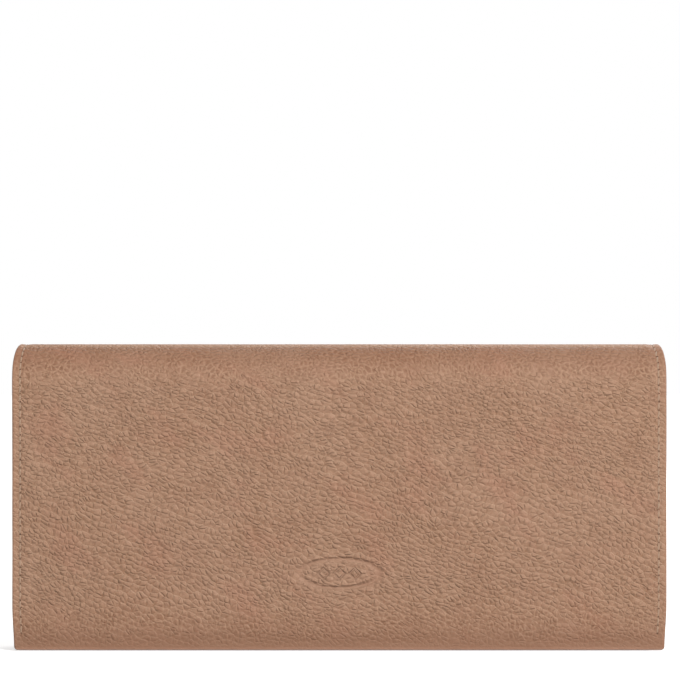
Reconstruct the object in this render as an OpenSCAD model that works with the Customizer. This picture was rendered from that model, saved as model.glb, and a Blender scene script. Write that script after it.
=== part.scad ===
/* [Overall] */
// Width of the closed wallet, end to end
wallet_w = 190; // [170:1:230]
// Height of the closed wallet, standing on its bottom fold
wallet_h = 89; // [85:1:110]
// How far the cover stands out past the pockets, each side
body_inset = 3; // [2:0.5:5]
// How far the pocket mouths lie below the start of the top fold
mouth_drop = 2; // [1:0.5:6]

/* [Leather and lining] */
// Outer leather
leather_t = 1.1; // [0.9:0.05:1.3]
// Stiffening board between leather and lining
board_t = 0.4; // [0.3:0.05:0.6]
// Lining
lining_t = 0.5; // [0.4:0.05:0.7]
// Distance from the cover's edge to the lining's edge
lining_inset = 1.1; // [0.8:0.1:2]
// Width of the leather turned in round the edges
turn_in = 6.5; // [5:0.5:9]
// Rounding of the flap's lower corners
corner_r = 1.6; // [1:0.1:3]
// Radius of the fold under the back
bottom_r = 3; // [2.5:0.1:4]

/* [Compartments] */
// Rear note compartment, front to back
rear_gap = 4.5; // [4.4:0.1:8]
// Front note compartment, front to back
front_gap = 4.6; // [4.4:0.1:8]
// Inside of the coin pocket, front to back
coin_gap = 4.3; // [4.2:0.1:7]
// How far the coin pocket's walls end below the mouths
coin_drop = 13; // [11:0.5:20]
// Leather of the coin pocket's walls
coin_wall_t = 0.6; // [0.5:0.05:0.8]
// Cloth of the coin pocket's bag
bag_t = 0.4; // [0.3:0.05:0.5]
// Leather of the front panel
panel_t = 1; // [0.8:0.05:1.2]
// Cloth of the folded gussets
gusset_t = 0.5; // [0.4:0.05:0.6]
// How far the gusset folds reach inwards
gusset_fold = 6.3; // [4:0.1:9]

/* [Card slots] */
// Leather of one card strip
slot_t = 0.4; // [0.3:0.05:0.5]
// Card rows on the front panel
panel_rows = 4; // [2:1:5]
// Card rows inside the flap
flap_rows = 3; // [2:1:4]
// Step from one card row to the next
row_step = 8.5; // [7:0.5:9]
// How far the card strips end inside the pocket panels, each side
strip_inset = 2; // [1:0.5:4]
// How far the top card row lies below the mouth
row_drop = 1; // [0.5:0.5:3]
// Leather left between the socket and the flap's first card row
socket_margin = 2; // [1:0.5:4]

/* [Press stud] */
// Height of the stud above the floor
stud_z = 9.5; // [9:0.5:10]
// Diameter of the ball on the stud
ball_d = 4.3; // [4:0.1:5]
// Diameter of the stud's foot
stud_foot_d = 9; // [8:0.5:10]
// Outside diameter of the socket
socket_d = 11; // [10:0.5:12]
// Depth of the socket
socket_t = 1.3; // [1.1:0.1:1.5]
// Space left between the flap's strips and the panel's strips
closing_gap = 0.8; // [0.7:0.1:1.2]

/* [Zip] */
// Tape left bare at each end of the teeth
zip_end = 16.2; // [12:0.2:24]
// Distance from one tooth to the next in its row
tooth_pitch = 2.4; // [2:0.1:3]
// Length of the slider
slider_l = 9; // [8:0.5:10]
// Length of the metal pull from its pin
pull_l = 11; // [9:0.5:12]
// Length of the leather tab beyond the pull
tab_l = 7; // [5:0.5:8]

/* [Clearances] */
// Gap between parts that turn past each other
hinge_gap = 0.15; // [0.1:0.05:0.2]
// Gap between soft parts of different bodies
soft_gap = 0.3; // [0.25:0.05:0.4]
// Gap round the slider on its teeth
slide_gap = 0.2; // [0.15:0.05:0.25]
// Height of the flap's lower edge above the floor
flap_lift = 0.25; // [0.2:0.05:0.5]
// Gap all round the ball in its socket
ball_gap = 0.35; // [0.3:0.05:0.45]

/* [Hidden] */
$fn = 64;

leather_c = "#a68069";
inner_leather_c = "#9c7660";
lining_c = "#8d6f5c";
board_c = "#c9bba6";
metal_c = "#c8b892";
cloth_c = "#a08772";

// Depth, from the layers that lie behind one another
depth = 2 * (leather_t + board_t + lining_t) + flap_rows * slot_t + closing_gap
    + panel_rows * slot_t + panel_t + front_gap
    + 2 * (coin_wall_t + bag_t) + coin_gap + rear_gap;

// Faces of the layers, from the back to the front
y_back = depth / 2;
y_back_board = y_back - leather_t;
y_back_lining = y_back_board - board_t;
y_rear_notes = y_back_lining - lining_t;
y_coin_rear = y_rear_notes - rear_gap;
y_bag_rear = y_coin_rear - coin_wall_t;
y_coins_rear = y_bag_rear - bag_t;
y_coins_front = y_coins_rear - coin_gap;
y_bag_front = y_coins_front - bag_t;
y_coin_front = y_bag_front - coin_wall_t;
y_panel_rear = y_coin_front - front_gap;
y_panel_front = y_panel_rear - panel_t;
y_strips_front = y_panel_front - panel_rows * slot_t;
y_front = -depth / 2;
y_flap_board = y_front + leather_t;
y_flap_lining = y_flap_board + board_t;
y_flap_strips = y_flap_lining + lining_t;
y_zip = (y_coins_rear + y_coins_front) / 2;

// The arch of leather over the top
arch_r = depth / 2;
arch_z = wallet_h - arch_r;
glue_gap = 0.05;
arch_lining_r = arch_r - leather_t - glue_gap;
axis_r = arch_r - leather_t / 2;
knuckle_cut = leather_t / 2 + hinge_gap;

// Heights
mouth_h = arch_z - mouth_drop;
coin_h = mouth_h - coin_drop;
panel_axis_z = panel_t / 2 + 0.1;
panel_axis_y = y_panel_rear - panel_t / 2;
strip_bottom_z = 2.5;
flap_row_z = stud_z + socket_d / 2 + socket_margin;
coin_bottom_z = leather_t + 0.5;
// Height at which the inside of the bottom fold is as far back as the gussets
fold_inside_z = bottom_r - sqrt(pow(bottom_r - leather_t, 2) - pow(y_rear_notes - y_back + bottom_r, 2));
gusset_bottom_z = max(leather_t + soft_gap, fold_inside_z);
gusset_drop = 1;

// Widths
body_w = wallet_w - 2 * body_inset;
strip_w = body_w - 2 * strip_inset;
coin_w = body_w - 2 * (gusset_t + soft_gap);
board_margin = 0.5;
board_w = wallet_w - 2 * (turn_in + board_margin);
lining_w = wallet_w - 2 * lining_inset;
gusset_tab = 4.5;
// Laid over the join so that two shapes of one piece merge
merge = 0.01;

// Zip
chain_l = coin_w - 2 * zip_end;
slider_travel = chain_l - slider_l - 1;
stop_l = 1.6;
stop_gap = 0.4;
tape_t = 0.5;
tooth_w = 1.85;
tooth_l = 1.2;
tooth_h = 1.5;
web_t = 0.3;
web_gap = web_t / 2 + slide_gap;
z_tape = coin_h;
z_teeth = z_tape + tape_t;
z_slider_plate = z_teeth + tooth_h + slide_gap;
slider_plate_t = 1;
slider_sole_t = 0.9;
flange_t = 0.8;
slider_w = 2 * (web_gap + tooth_w + slide_gap + flange_t);
slider_x = -slider_travel / 2;
pin_r = 0.4;
pin_gap = 0.2;
pull_t = 2 * pin_r;
z_pin = z_slider_plate + slider_plate_t + pin_gap + pin_r;
bridge_w = 1.6;
bridge_t = 0.7;
bridge_half = 2.5;
arm_w = 0.8;
arm_l = bridge_half + bridge_t + 1.3;
pull_w = bridge_w + 2 * (pin_gap + arm_w) + 0.8;
eye_inset = 2.6;
eye_r = 1.2;
web_l = 2.5;

// Press stud
stud_post_d = ball_d - 0.9;
stud_foot_t = 0.4;
post_gap = 0.05;
ball_h = 0.8;
ball_end_gap = 0.25;
socket_rim = 1.5;
socket_flange_t = 0.6;
// Longer than anything that it cuts
far = 400;

// Draws a profile of (y, z) as a length of the wallet, centred on x
module along_x(width) {
    rotate([90, 0, 90]) linear_extrude(width, center = true) children();
}

// Draws an outline of (x, z) as a plate from y0 to y1
module plate(y0, y1) {
    translate([0, y1, 0]) rotate([90, 0, 0]) linear_extrude(y1 - y0) children();
}

module slab(width, y0, y1, z0, z1) {
    translate([-width / 2, y0, z0]) cube([width, y1 - y0, z1 - z0]);
}

// Part of the arch, as seen from the end; turn 0 is the back and 180 the flap
module arch_ring(r_in, r_out) {
    translate([0, arch_z]) difference() {
        circle(r_out);
        circle(r_in);
    }
}

// Half plane on one side of a line through the arch's centre, shifted by cut
module beyond(turn, cut) {
    translate([0, arch_z]) rotate(turn) translate([-far, cut]) square([2 * far, far]);
}

// From the back's top to the first fold line
module back_arch(r_in, r_out, cut) {
    difference() {
        arch_ring(r_in, r_out);
        beyond(45, -cut);
        beyond(180, 0);
    }
}

module flap_arch(r_in, r_out, cut) {
    mirror([1, 0]) back_arch(r_in, r_out, cut);
}

module spine_arch(r_in, r_out, cut) {
    difference() {
        arch_ring(r_in, r_out);
        translate([0, arch_z]) rotate(45) translate([-far, -far]) square([2 * far, far + cut]);
        translate([0, arch_z]) rotate(-45) translate([-far, -far]) square([2 * far, far + cut]);
    }
}

// ---- back: one leather from the first fold line down and under to the front ----
module back_profile() {
    back_arch(arch_r - leather_t, arch_r, knuckle_cut);
    translate([y_back_board, bottom_r]) square([leather_t, arch_z - bottom_r]);
    translate([y_back - bottom_r, bottom_r]) intersection() {
        difference() {
            circle(bottom_r);
            circle(bottom_r - leather_t);
        }
        translate([0, -far]) square([far, far]);
    }
    bottom_front = panel_axis_y + panel_t / 2 + hinge_gap;
    translate([bottom_front, 0]) square([y_back - bottom_r - bottom_front, leather_t]);
}

module turned_edges(y0, y1, z0, z1) {
    for (side = [-1, 1])
        translate([side * (wallet_w - turn_in) / 2, 0, 0]) slab(turn_in, y0, y1, z0, z1);
}

module back_cover() {
    color(leather_c) {
        along_x(wallet_w) back_profile();
        turned_edges(y_back_lining, y_back_board + merge, bottom_r + board_margin, arch_z);
    }
}

module back_stiffener() {
    color(board_c)
        slab(board_w, y_back_lining, y_back_board, bottom_r + board_margin, arch_z - board_margin);
}

module back_lining() {
    color(lining_c) along_x(lining_w) {
        back_arch(arch_lining_r - lining_t, arch_lining_r, hinge_gap);
        translate([y_rear_notes, bottom_r]) square([lining_t, arch_z + board_t - bottom_r]);
    }
}

// ---- gussets: cloth folded like a W between the back, the coin pocket and the panel ----
module fold_line(points, t) {
    for (i = [0:len(points) - 2]) {
        run = points[i + 1] - points[i];
        translate(points[i]) rotate(atan2(run.y, run.x))
            translate([0, -t / 2]) square([norm(run), t]);
    }
    for (p = points) translate(p) circle(d = t);
}

module gusset() {
    clear = soft_gap + gusset_t / 2;
    outer_x = (body_w - gusset_t) / 2;
    inner_x = outer_x - gusset_fold;
    tab_x = outer_x - gusset_tab;
    y_rear_end = y_rear_notes - gusset_t / 2;
    y_front_end = y_panel_rear + clear;
    y_mid_rear = y_coin_rear + clear;
    y_mid_front = y_coin_front - clear;
    points = [
        [tab_x, y_rear_end], [outer_x, y_rear_end],
        [inner_x, (y_rear_end + y_mid_rear) / 2], [outer_x, y_mid_rear],
        [outer_x, y_mid_front], [inner_x, (y_mid_front + y_front_end) / 2],
        [outer_x, y_front_end], [tab_x, y_front_end]];
    translate([0, 0, gusset_bottom_z])
        linear_extrude(mouth_h - gusset_drop - gusset_bottom_z) fold_line(points, gusset_t);
}

module right_gusset() {
    color(cloth_c) gusset();
}

module left_gusset() {
    color(cloth_c) mirror([1, 0, 0]) gusset();
}

// ---- spine: the strip of leather between the two fold lines ----
module spine_cover() {
    color(leather_c) along_x(wallet_w) {
        spine_arch(arch_r - leather_t, arch_r, 0);
        for (turn = [45, 135])
            translate([axis_r * cos(turn), arch_z + axis_r * sin(turn)]) circle(d = leather_t);
    }
}

module spine_lining() {
    color(lining_c) along_x(lining_w)
        spine_arch(arch_lining_r - lining_t, arch_lining_r, hinge_gap);
}

// ---- flap ----
module rounded_sheet(width, z0, z1, r) {
    intersection() {
        hull() for (side = [-1, 1]) {
            translate([side * (width / 2 - r), z0 + r]) circle(r, $fn = 32);
            translate([side * (width / 2 - r), z1 + r]) circle(r, $fn = 32);
        }
        translate([-width / 2, z0]) square([width, z1 - z0]);
    }
}

module flap_cover() {
    color(leather_c) {
        along_x(wallet_w) flap_arch(arch_r - leather_t, arch_r, knuckle_cut);
        plate(y_front, y_flap_board) rounded_sheet(wallet_w, flap_lift, arch_z, corner_r);
        plate(y_flap_board - merge, y_flap_lining) difference() {
            rounded_sheet(wallet_w, flap_lift, arch_z, corner_r);
            translate([turn_in - wallet_w / 2, flap_lift + turn_in])
                square([wallet_w - 2 * turn_in, far]);
        }
    }
}

module flap_stiffener() {
    color(board_c) slab(board_w, y_flap_board, y_flap_lining,
        flap_lift + turn_in + board_margin, arch_z - board_margin);
}

module flap_lining() {
    color(lining_c) {
        along_x(lining_w) flap_arch(arch_lining_r - lining_t, arch_lining_r, hinge_gap);
        plate(y_flap_lining, y_flap_strips)
            rounded_sheet(lining_w, flap_lift + lining_inset, arch_z + board_t, corner_r / 2);
    }
}

// Card strips inside the flap open towards its free edge
module flap_card_row(k) {
    color(inner_leather_c) slab(strip_w, y_flap_strips + (k - 1) * slot_t,
        y_flap_strips + k * slot_t, flap_row_z + (k - 1) * row_step, mouth_h);
}

module snap_socket() {
    hole_d = ball_d + 2 * ball_gap;
    color(metal_c) translate([0, y_flap_strips, stud_z]) rotate([-90, 0, 0]) difference() {
        union() {
            cylinder(h = socket_flange_t, d = socket_d);
            cylinder(h = socket_t, d = socket_d - 2 * socket_rim);
        }
        translate([0, 0, -1]) cylinder(h = socket_t + 2, d = hole_d);
    }
}

// ---- front panel ----
module stud_hole() {
    translate([0, y_strips_front - 1, stud_z]) rotate([-90, 0, 0])
        cylinder(h = y_panel_rear - y_strips_front + 2, d = stud_post_d);
}

module front_panel() {
    color(leather_c) difference() {
        along_x(body_w) {
            translate([y_panel_front, panel_axis_z]) square([panel_t, mouth_h - panel_axis_z]);
            translate([panel_axis_y, panel_axis_z]) circle(d = panel_t);
        }
        stud_hole();
        translate([0, y_panel_rear - stud_foot_t, stud_z]) rotate([-90, 0, 0])
            cylinder(h = stud_foot_t + 1, d = stud_foot_d);
    }
}

// Row 1 lies against the panel and is the tallest
module panel_card_row(k) {
    color(inner_leather_c) difference() {
        slab(strip_w, y_panel_front - k * slot_t, y_panel_front - (k - 1) * slot_t,
            strip_bottom_z, mouth_h - row_drop - (k - 1) * row_step);
        stud_hole();
    }
}

module snap_stud() {
    reach = y_strips_front - y_flap_strips - ball_end_gap;
    shank = y_panel_rear - y_strips_front - stud_foot_t;
    color(metal_c) translate([0, y_strips_front, stud_z]) rotate([90, 0, 0]) {
        cylinder(h = stud_foot_t, d = stud_foot_d);
        cylinder(h = reach, d = stud_post_d);
        translate([0, 0, reach - ball_h]) cylinder(h = ball_h, d = ball_d);
        mirror([0, 0, 1]) cylinder(h = shank, d = stud_post_d - 2 * post_gap);
    }
}

module snap_washer() {
    color(metal_c) translate([0, y_panel_rear, stud_z]) rotate([90, 0, 0])
        cylinder(h = stud_foot_t, d = stud_foot_d - 2 * post_gap);
}

// ---- coin pocket ----
module coin_front_wall() {
    color(inner_leather_c) slab(coin_w, y_coin_front, y_bag_front, coin_bottom_z, coin_h);
}

module coin_rear_wall() {
    color(inner_leather_c) slab(coin_w, y_bag_rear, y_coin_rear, coin_bottom_z, coin_h);
}

module coin_bag() {
    color(cloth_c) difference() {
        slab(coin_w, y_bag_front, y_bag_rear, coin_bottom_z, coin_h);
        slab(coin_w - 2 * bag_t, y_coins_front, y_coins_rear, coin_bottom_z + bag_t, coin_h + 1);
    }
}

module zip_tape(side) {
    reach = side > 0 ? y_coin_rear - y_zip : y_zip - y_coin_front;
    color(cloth_c) translate([0, y_zip, 0]) mirror([0, side < 0 ? 1 : 0, 0])
        slab(coin_w, web_gap, reach, z_tape, z_tape + tape_t);
}

module zip_tape_front() { zip_tape(-1); }
module zip_tape_rear() { zip_tape(1); }

module zip_teeth(side) {
    count = floor(chain_l / tooth_pitch - 0.5);
    shift = side > 0 ? 0 : tooth_pitch / 2;
    color(metal_c) for (i = [0:count - 1])
        translate([i * tooth_pitch + shift - chain_l / 2, 0, z_teeth])
            translate([0, side > 0 ? y_zip + web_gap : y_zip - web_gap - tooth_w, 0])
                cube([tooth_l, tooth_w, tooth_h]);
}

module zip_teeth_front() { zip_teeth(-1); }
module zip_teeth_rear() { zip_teeth(1); }

// One stop on each tape, where the slider rests when the zip is closed
module zip_closed_stop() {
    color(metal_c) for (side = [0, 1])
        translate([-chain_l / 2 - stop_gap - stop_l, y_zip, z_teeth]) mirror([0, side, 0])
            translate([0, web_gap, 0]) cube([stop_l, tooth_w, tooth_h]);
}

// One stop right across, at the other end
module zip_open_stop() {
    color(metal_c) translate([chain_l / 2 + stop_gap, y_zip - tooth_w, z_teeth])
        cube([2 * stop_l, 2 * tooth_w, tooth_h]);
}

module zip_slider() {
    plate_z = z_slider_plate;
    sole_z = z_tape - slide_gap - slider_sole_t;
    sole_w = coin_gap - 2 * slide_gap;
    color(metal_c) translate([slider_x, y_zip, 0]) {
        translate([-slider_l / 2, -slider_w / 2, plate_z]) cube([slider_l, slider_w, slider_plate_t]);
        for (side = [0, 1]) mirror([0, side, 0])
            translate([-slider_l / 2, slider_w / 2 - flange_t, z_teeth + slide_gap])
                cube([slider_l, flange_t, plate_z - z_teeth - slide_gap + merge]);
        translate([1 - slider_l / 2, -web_t / 2, sole_z]) cube([web_l, web_t, plate_z - sole_z + merge]);
        translate([0.5 - slider_l / 2, -sole_w / 2, sole_z]) cube([slider_l - 1, sole_w, slider_sole_t]);
        // bridge over the pull's pin
        difference() {
            translate([-bridge_half - bridge_t, -bridge_w / 2, plate_z + slider_plate_t - merge])
                cube([2 * (bridge_half + bridge_t), bridge_w, 2 * (pin_r + pin_gap) + bridge_t + merge]);
            translate([-bridge_half, -bridge_w, plate_z + slider_plate_t])
                cube([2 * bridge_half, 2 * bridge_w, 2 * (pin_r + pin_gap)]);
        }
    }
}

module zip_pull() {
    arm_y = bridge_w / 2 + pin_gap;
    color(metal_c) translate([slider_x, y_zip, z_pin]) {
        rotate([90, 0, 0]) cylinder(h = 2 * (arm_y + arm_w), r = pin_r, center = true);
        for (side = [0, 1]) mirror([0, side, 0])
            translate([0, arm_y, -pin_r]) cube([arm_l, arm_w, pull_t]);
        difference() {
            translate([arm_l - merge, -pull_w / 2, -pin_r])
                cube([pull_l - arm_l + merge, pull_w, pull_t]);
            translate([pull_l - eye_inset, 0, -pull_t]) cylinder(h = 2 * pull_t, r = eye_r);
        }
    }
}

// Leather tab, looped through the pull's eye and lying in line with it
module zip_pull_tab() {
    color(leather_c) translate([slider_x, y_zip, z_pin])
        translate([pull_l, -pull_w / 2, -pin_r]) cube([tab_l, pull_w, pull_t]);
}

back_cover();
back_stiffener();
back_lining();
left_gusset();
right_gusset();
spine_cover();
spine_lining();
flap_cover();
flap_stiffener();
flap_lining();
snap_socket();
for (k = [1:flap_rows])
    flap_card_row(k);
front_panel();
for (k = [1:panel_rows])
    panel_card_row(k);
snap_stud();
snap_washer();
coin_front_wall();
coin_rear_wall();
coin_bag();
zip_tape_front();
zip_tape_rear();
zip_teeth_front();
zip_teeth_rear();
zip_closed_stop();
zip_open_stop();
zip_slider();
zip_pull();
zip_pull_tab();
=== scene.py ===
import math

import bmesh
import bpy
from mathutils import Matrix, Vector, noise


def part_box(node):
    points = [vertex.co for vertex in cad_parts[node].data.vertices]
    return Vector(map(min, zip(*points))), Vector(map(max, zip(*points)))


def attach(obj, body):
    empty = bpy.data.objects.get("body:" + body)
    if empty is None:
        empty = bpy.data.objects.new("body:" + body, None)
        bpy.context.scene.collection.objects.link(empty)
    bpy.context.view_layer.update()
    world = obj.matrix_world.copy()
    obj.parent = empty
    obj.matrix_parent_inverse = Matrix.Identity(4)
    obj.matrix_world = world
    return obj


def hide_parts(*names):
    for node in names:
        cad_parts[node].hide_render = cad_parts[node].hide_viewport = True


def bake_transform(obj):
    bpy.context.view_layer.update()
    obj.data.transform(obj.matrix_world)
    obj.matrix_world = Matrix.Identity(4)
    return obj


bl_info = {
    "name": "Long Flap Wallet",
    "blender": (4, 5, 0),
    "version": (1, 0, 0),
    "location": "View3D > Sidebar > Wallet",
    "description": "Dresses the frame of a long leather wallet",
    "category": "Object",
}

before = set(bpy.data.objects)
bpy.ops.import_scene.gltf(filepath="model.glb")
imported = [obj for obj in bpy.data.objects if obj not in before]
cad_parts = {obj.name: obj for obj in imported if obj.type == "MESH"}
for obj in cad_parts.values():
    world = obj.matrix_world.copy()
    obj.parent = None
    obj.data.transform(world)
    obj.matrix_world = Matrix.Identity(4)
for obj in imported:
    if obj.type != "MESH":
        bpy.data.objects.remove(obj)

MM = 0.001


def span(node, axis):
    """Lowest and highest place of a CAD node along an axis, in millimetres."""
    low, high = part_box(node)
    return low[axis] / MM, high[axis] / MM


# Places in millimetres, taken from the frame
WIDTH = 2 * span("flap_cover", 0)[1]
HEIGHT = span("spine_cover", 2)[1]
DEPTH = span("back_cover", 1)[1]
ARCH_Z = HEIGHT - DEPTH
FLAP_Z = span("flap_cover", 2)[0]
LINING_DEPTH = span("back_lining", 1)[1]
PANEL_BACK = span("front_panel", 1)[1]
PANEL_FRONT = span("front_panel", 1)[0]
MOUTH_Z = span("front_panel", 2)[1]
ZIP_Y = (span("zip_teeth_front", 1)[1] + span("zip_teeth_rear", 1)[0]) / 2
SLIDER_X = sum(span("zip_slider", 0)) / 2
STUD_Z = sum(span("snap_stud", 2)) / 2

# Real sizes of the leatherwork, in millimetres
LEATHER = 1.1
TURNED_EDGE = 1.5
TURN_IN = 6.5
BOTTOM_FOLD = 3.0
SEAM_INSET = 2.3
CROWN_PINCH = 1.6
OVAL = (11.5, 4.2)
OVAL_S = 22.2
DIAMOND_PITCH = 4.6
FRONT_BEND = 1.4
LINING = 0.5
GUSSET = 0.5
COIN_BAG = 0.4
PULL_TAB = 0.38
TOOTH_PITCH = 2.4
TOOTH_LENGTH = 1.2

# Where a sheet's mesh has its first rows: by a round rim 1.5 mm thick, and by a join
ROUND = (0.0, 0.05, 0.2, 0.42, 0.75)
FINE = (0.0, 0.1, 0.5)

# Lengths along the outer leather, from the flap's lower edge
FLAP_LENGTH = ARCH_Z - FLAP_Z
CROWN = FLAP_LENGTH + math.pi * DEPTH / 2
BACK_TOP = FLAP_LENGTH + math.pi * DEPTH
BACK_LOW = BACK_TOP + ARCH_Z - BOTTOM_FOLD
BOTTOM_REAR = BACK_LOW + math.pi * BOTTOM_FOLD / 2
JOIN_Y = 1.0
LEATHER_END = BOTTOM_REAR + DEPTH - BOTTOM_FOLD - JOIN_Y
SEAM_ENDS = (3.2, 191.2)
FRONT_RUN = JOIN_Y - PANEL_FRONT - FRONT_BEND


def srgb(code):
    """A colour written as #rrggbb, as the linear colour that a shader takes."""
    parts = [int(code[i : i + 2], 16) / 255 for i in (1, 3, 5)]
    return (*[c / 12.92 if c <= 0.04045 else ((c + 0.055) / 1.055) ** 2.4 for c in parts], 1.0)


class WalletLeather(bpy.types.PropertyGroup):
    grain_width: bpy.props.FloatProperty(
        name="Pebble width", description="Width of one pebble of the grain",
        default=0.00188, unit="LENGTH")
    grain_height: bpy.props.FloatProperty(
        name="Pebble height", description="Height of one pebble of the grain",
        default=0.00135, unit="LENGTH")
    grain_depth: bpy.props.FloatProperty(
        name="Crease depth", description="Depth of the creases between pebbles",
        default=0.001, unit="LENGTH")
    softness: bpy.props.FloatProperty(
        name="Unevenness", description="How far the leather dips between its high places, in millimetres",
        default=0.45, min=0.0, max=0.6)
    pebble_colour: bpy.props.FloatVectorProperty(
        name="Pebble colour", description="Colour of the leather on top of its pebbles",
        default=srgb("#a98268"), size=4, min=0.0, max=1.0, subtype="COLOR")
    # painted shade: the colour between the pebbles is darker, where shade falls in the creases
    crease_shade_colour: bpy.props.FloatVectorProperty(
        name="Crease colour", description="Colour of the leather between its pebbles",
        default=srgb("#9c765a"), size=4, min=0.0, max=1.0, subtype="COLOR")


class WalletSewing(bpy.types.PropertyGroup):
    pitch: bpy.props.FloatProperty(
        name="Stitch pitch", description="Distance from one needle hole to the next, in millimetres",
        default=2.4, min=1.5, max=4.0)
    thread: bpy.props.FloatProperty(
        name="Thread width", description="Width of the thread, in millimetres",
        default=0.55, min=0.3, max=1.0)
    thread_colour: bpy.props.FloatVectorProperty(
        name="Thread colour", description="Colour of the thread where it stands proud",
        default=srgb("#c5a58b"), size=4, min=0.0, max=1.0, subtype="COLOR")


class WalletStage(bpy.types.PropertyGroup):
    distance: bpy.props.FloatProperty(
        name="Camera distance", description="From the camera to the front of the wallet",
        default=1.3, unit="LENGTH")
    across: bpy.props.FloatProperty(
        name="Width seen", description="Width that the camera sees at the front of the wallet",
        default=0.1972, unit="LENGTH")
    centre: bpy.props.FloatProperty(
        name="Camera height", description="Height of the camera above the floor",
        default=0.0902, unit="LENGTH")


# ---------------------------------------------------------------- materials


# Settings that many nodes share: a smooth step, a blend of colours, and a pattern laid out by its real size
SMOOTH = {"interpolation_type": "SMOOTHSTEP"}
COLOURS = {"data_type": "RGBA"}
REAL_SIZE = {"vector_type": "TEXTURE"}


def add(tree, kind, links=(), out=0, **settings):
    """Adds a node with its settings, and gives its output out, or the node itself where out is None.
    links holds a value or another node's output for each input, in order or by key."""
    made = tree.nodes.new("ShaderNode" + kind)
    for key, value in settings.items():
        setattr(made, key, value)
    for key, value in links.items() if isinstance(links, dict) else enumerate(links):
        if isinstance(value, bpy.types.NodeSocket):
            tree.links.new(value, made.inputs[key])
        else:
            made.inputs[key].default_value = value
    return made if out is None else made.outputs[out]


def far(tree, a, b):
    """How far the point a, b lies from 0, 0."""
    a = add(tree, "Math", (a, 2.0), operation="POWER")
    b = add(tree, "Math", (b, 2.0), operation="POWER")
    return add(tree, "Math", {0: add(tree, "Math", (a, b), operation="ADD")}, operation="SQRT")


def repeated(tree, value, pitch):
    """Where a value lies in repeats pitch apart, from -0.5 to 0.5."""
    turns = add(tree, "Math", (value, pitch), operation="DIVIDE")
    turns = add(tree, "Math", (turns, 0.5), operation="ADD")
    turns = add(tree, "Math", {0: turns}, operation="FRACT")
    return add(tree, "Math", (turns, 0.5), operation="SUBTRACT")


def tinted(tree, colour, *layers):
    """The colour with tints laid over it, each as strongly as its mask times its amount."""
    for mask, amount, tint in layers:
        share = add(tree, "Math", (mask, amount), operation="MULTIPLY")
        colour = add(tree, "Mix", {0: share, 6: colour, 7: tint}, 2, **COLOURS)
    return colour


def new_material(name):
    made = bpy.data.materials.new(name)
    made.use_nodes = True
    tree = made.node_tree
    tree.nodes.clear()
    shader = add(tree, "BsdfPrincipled", out=None)
    out = add(tree, "OutputMaterial", out=None)
    tree.links.new(shader.outputs[0], out.inputs[0])
    return made, tree, shader


def finish_shader(tree, shader, colour, roughness, normal=None, **constants):
    for key, value in {"Base Color": colour, "Roughness": roughness, "Normal": normal}.items():
        if isinstance(value, bpy.types.NodeSocket):
            tree.links.new(value, shader.inputs[key])
        elif value is not None:
            shader.inputs[key].default_value = value
    for key, value in constants.items():
        shader.inputs[key.replace("_", " ")].default_value = value


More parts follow.
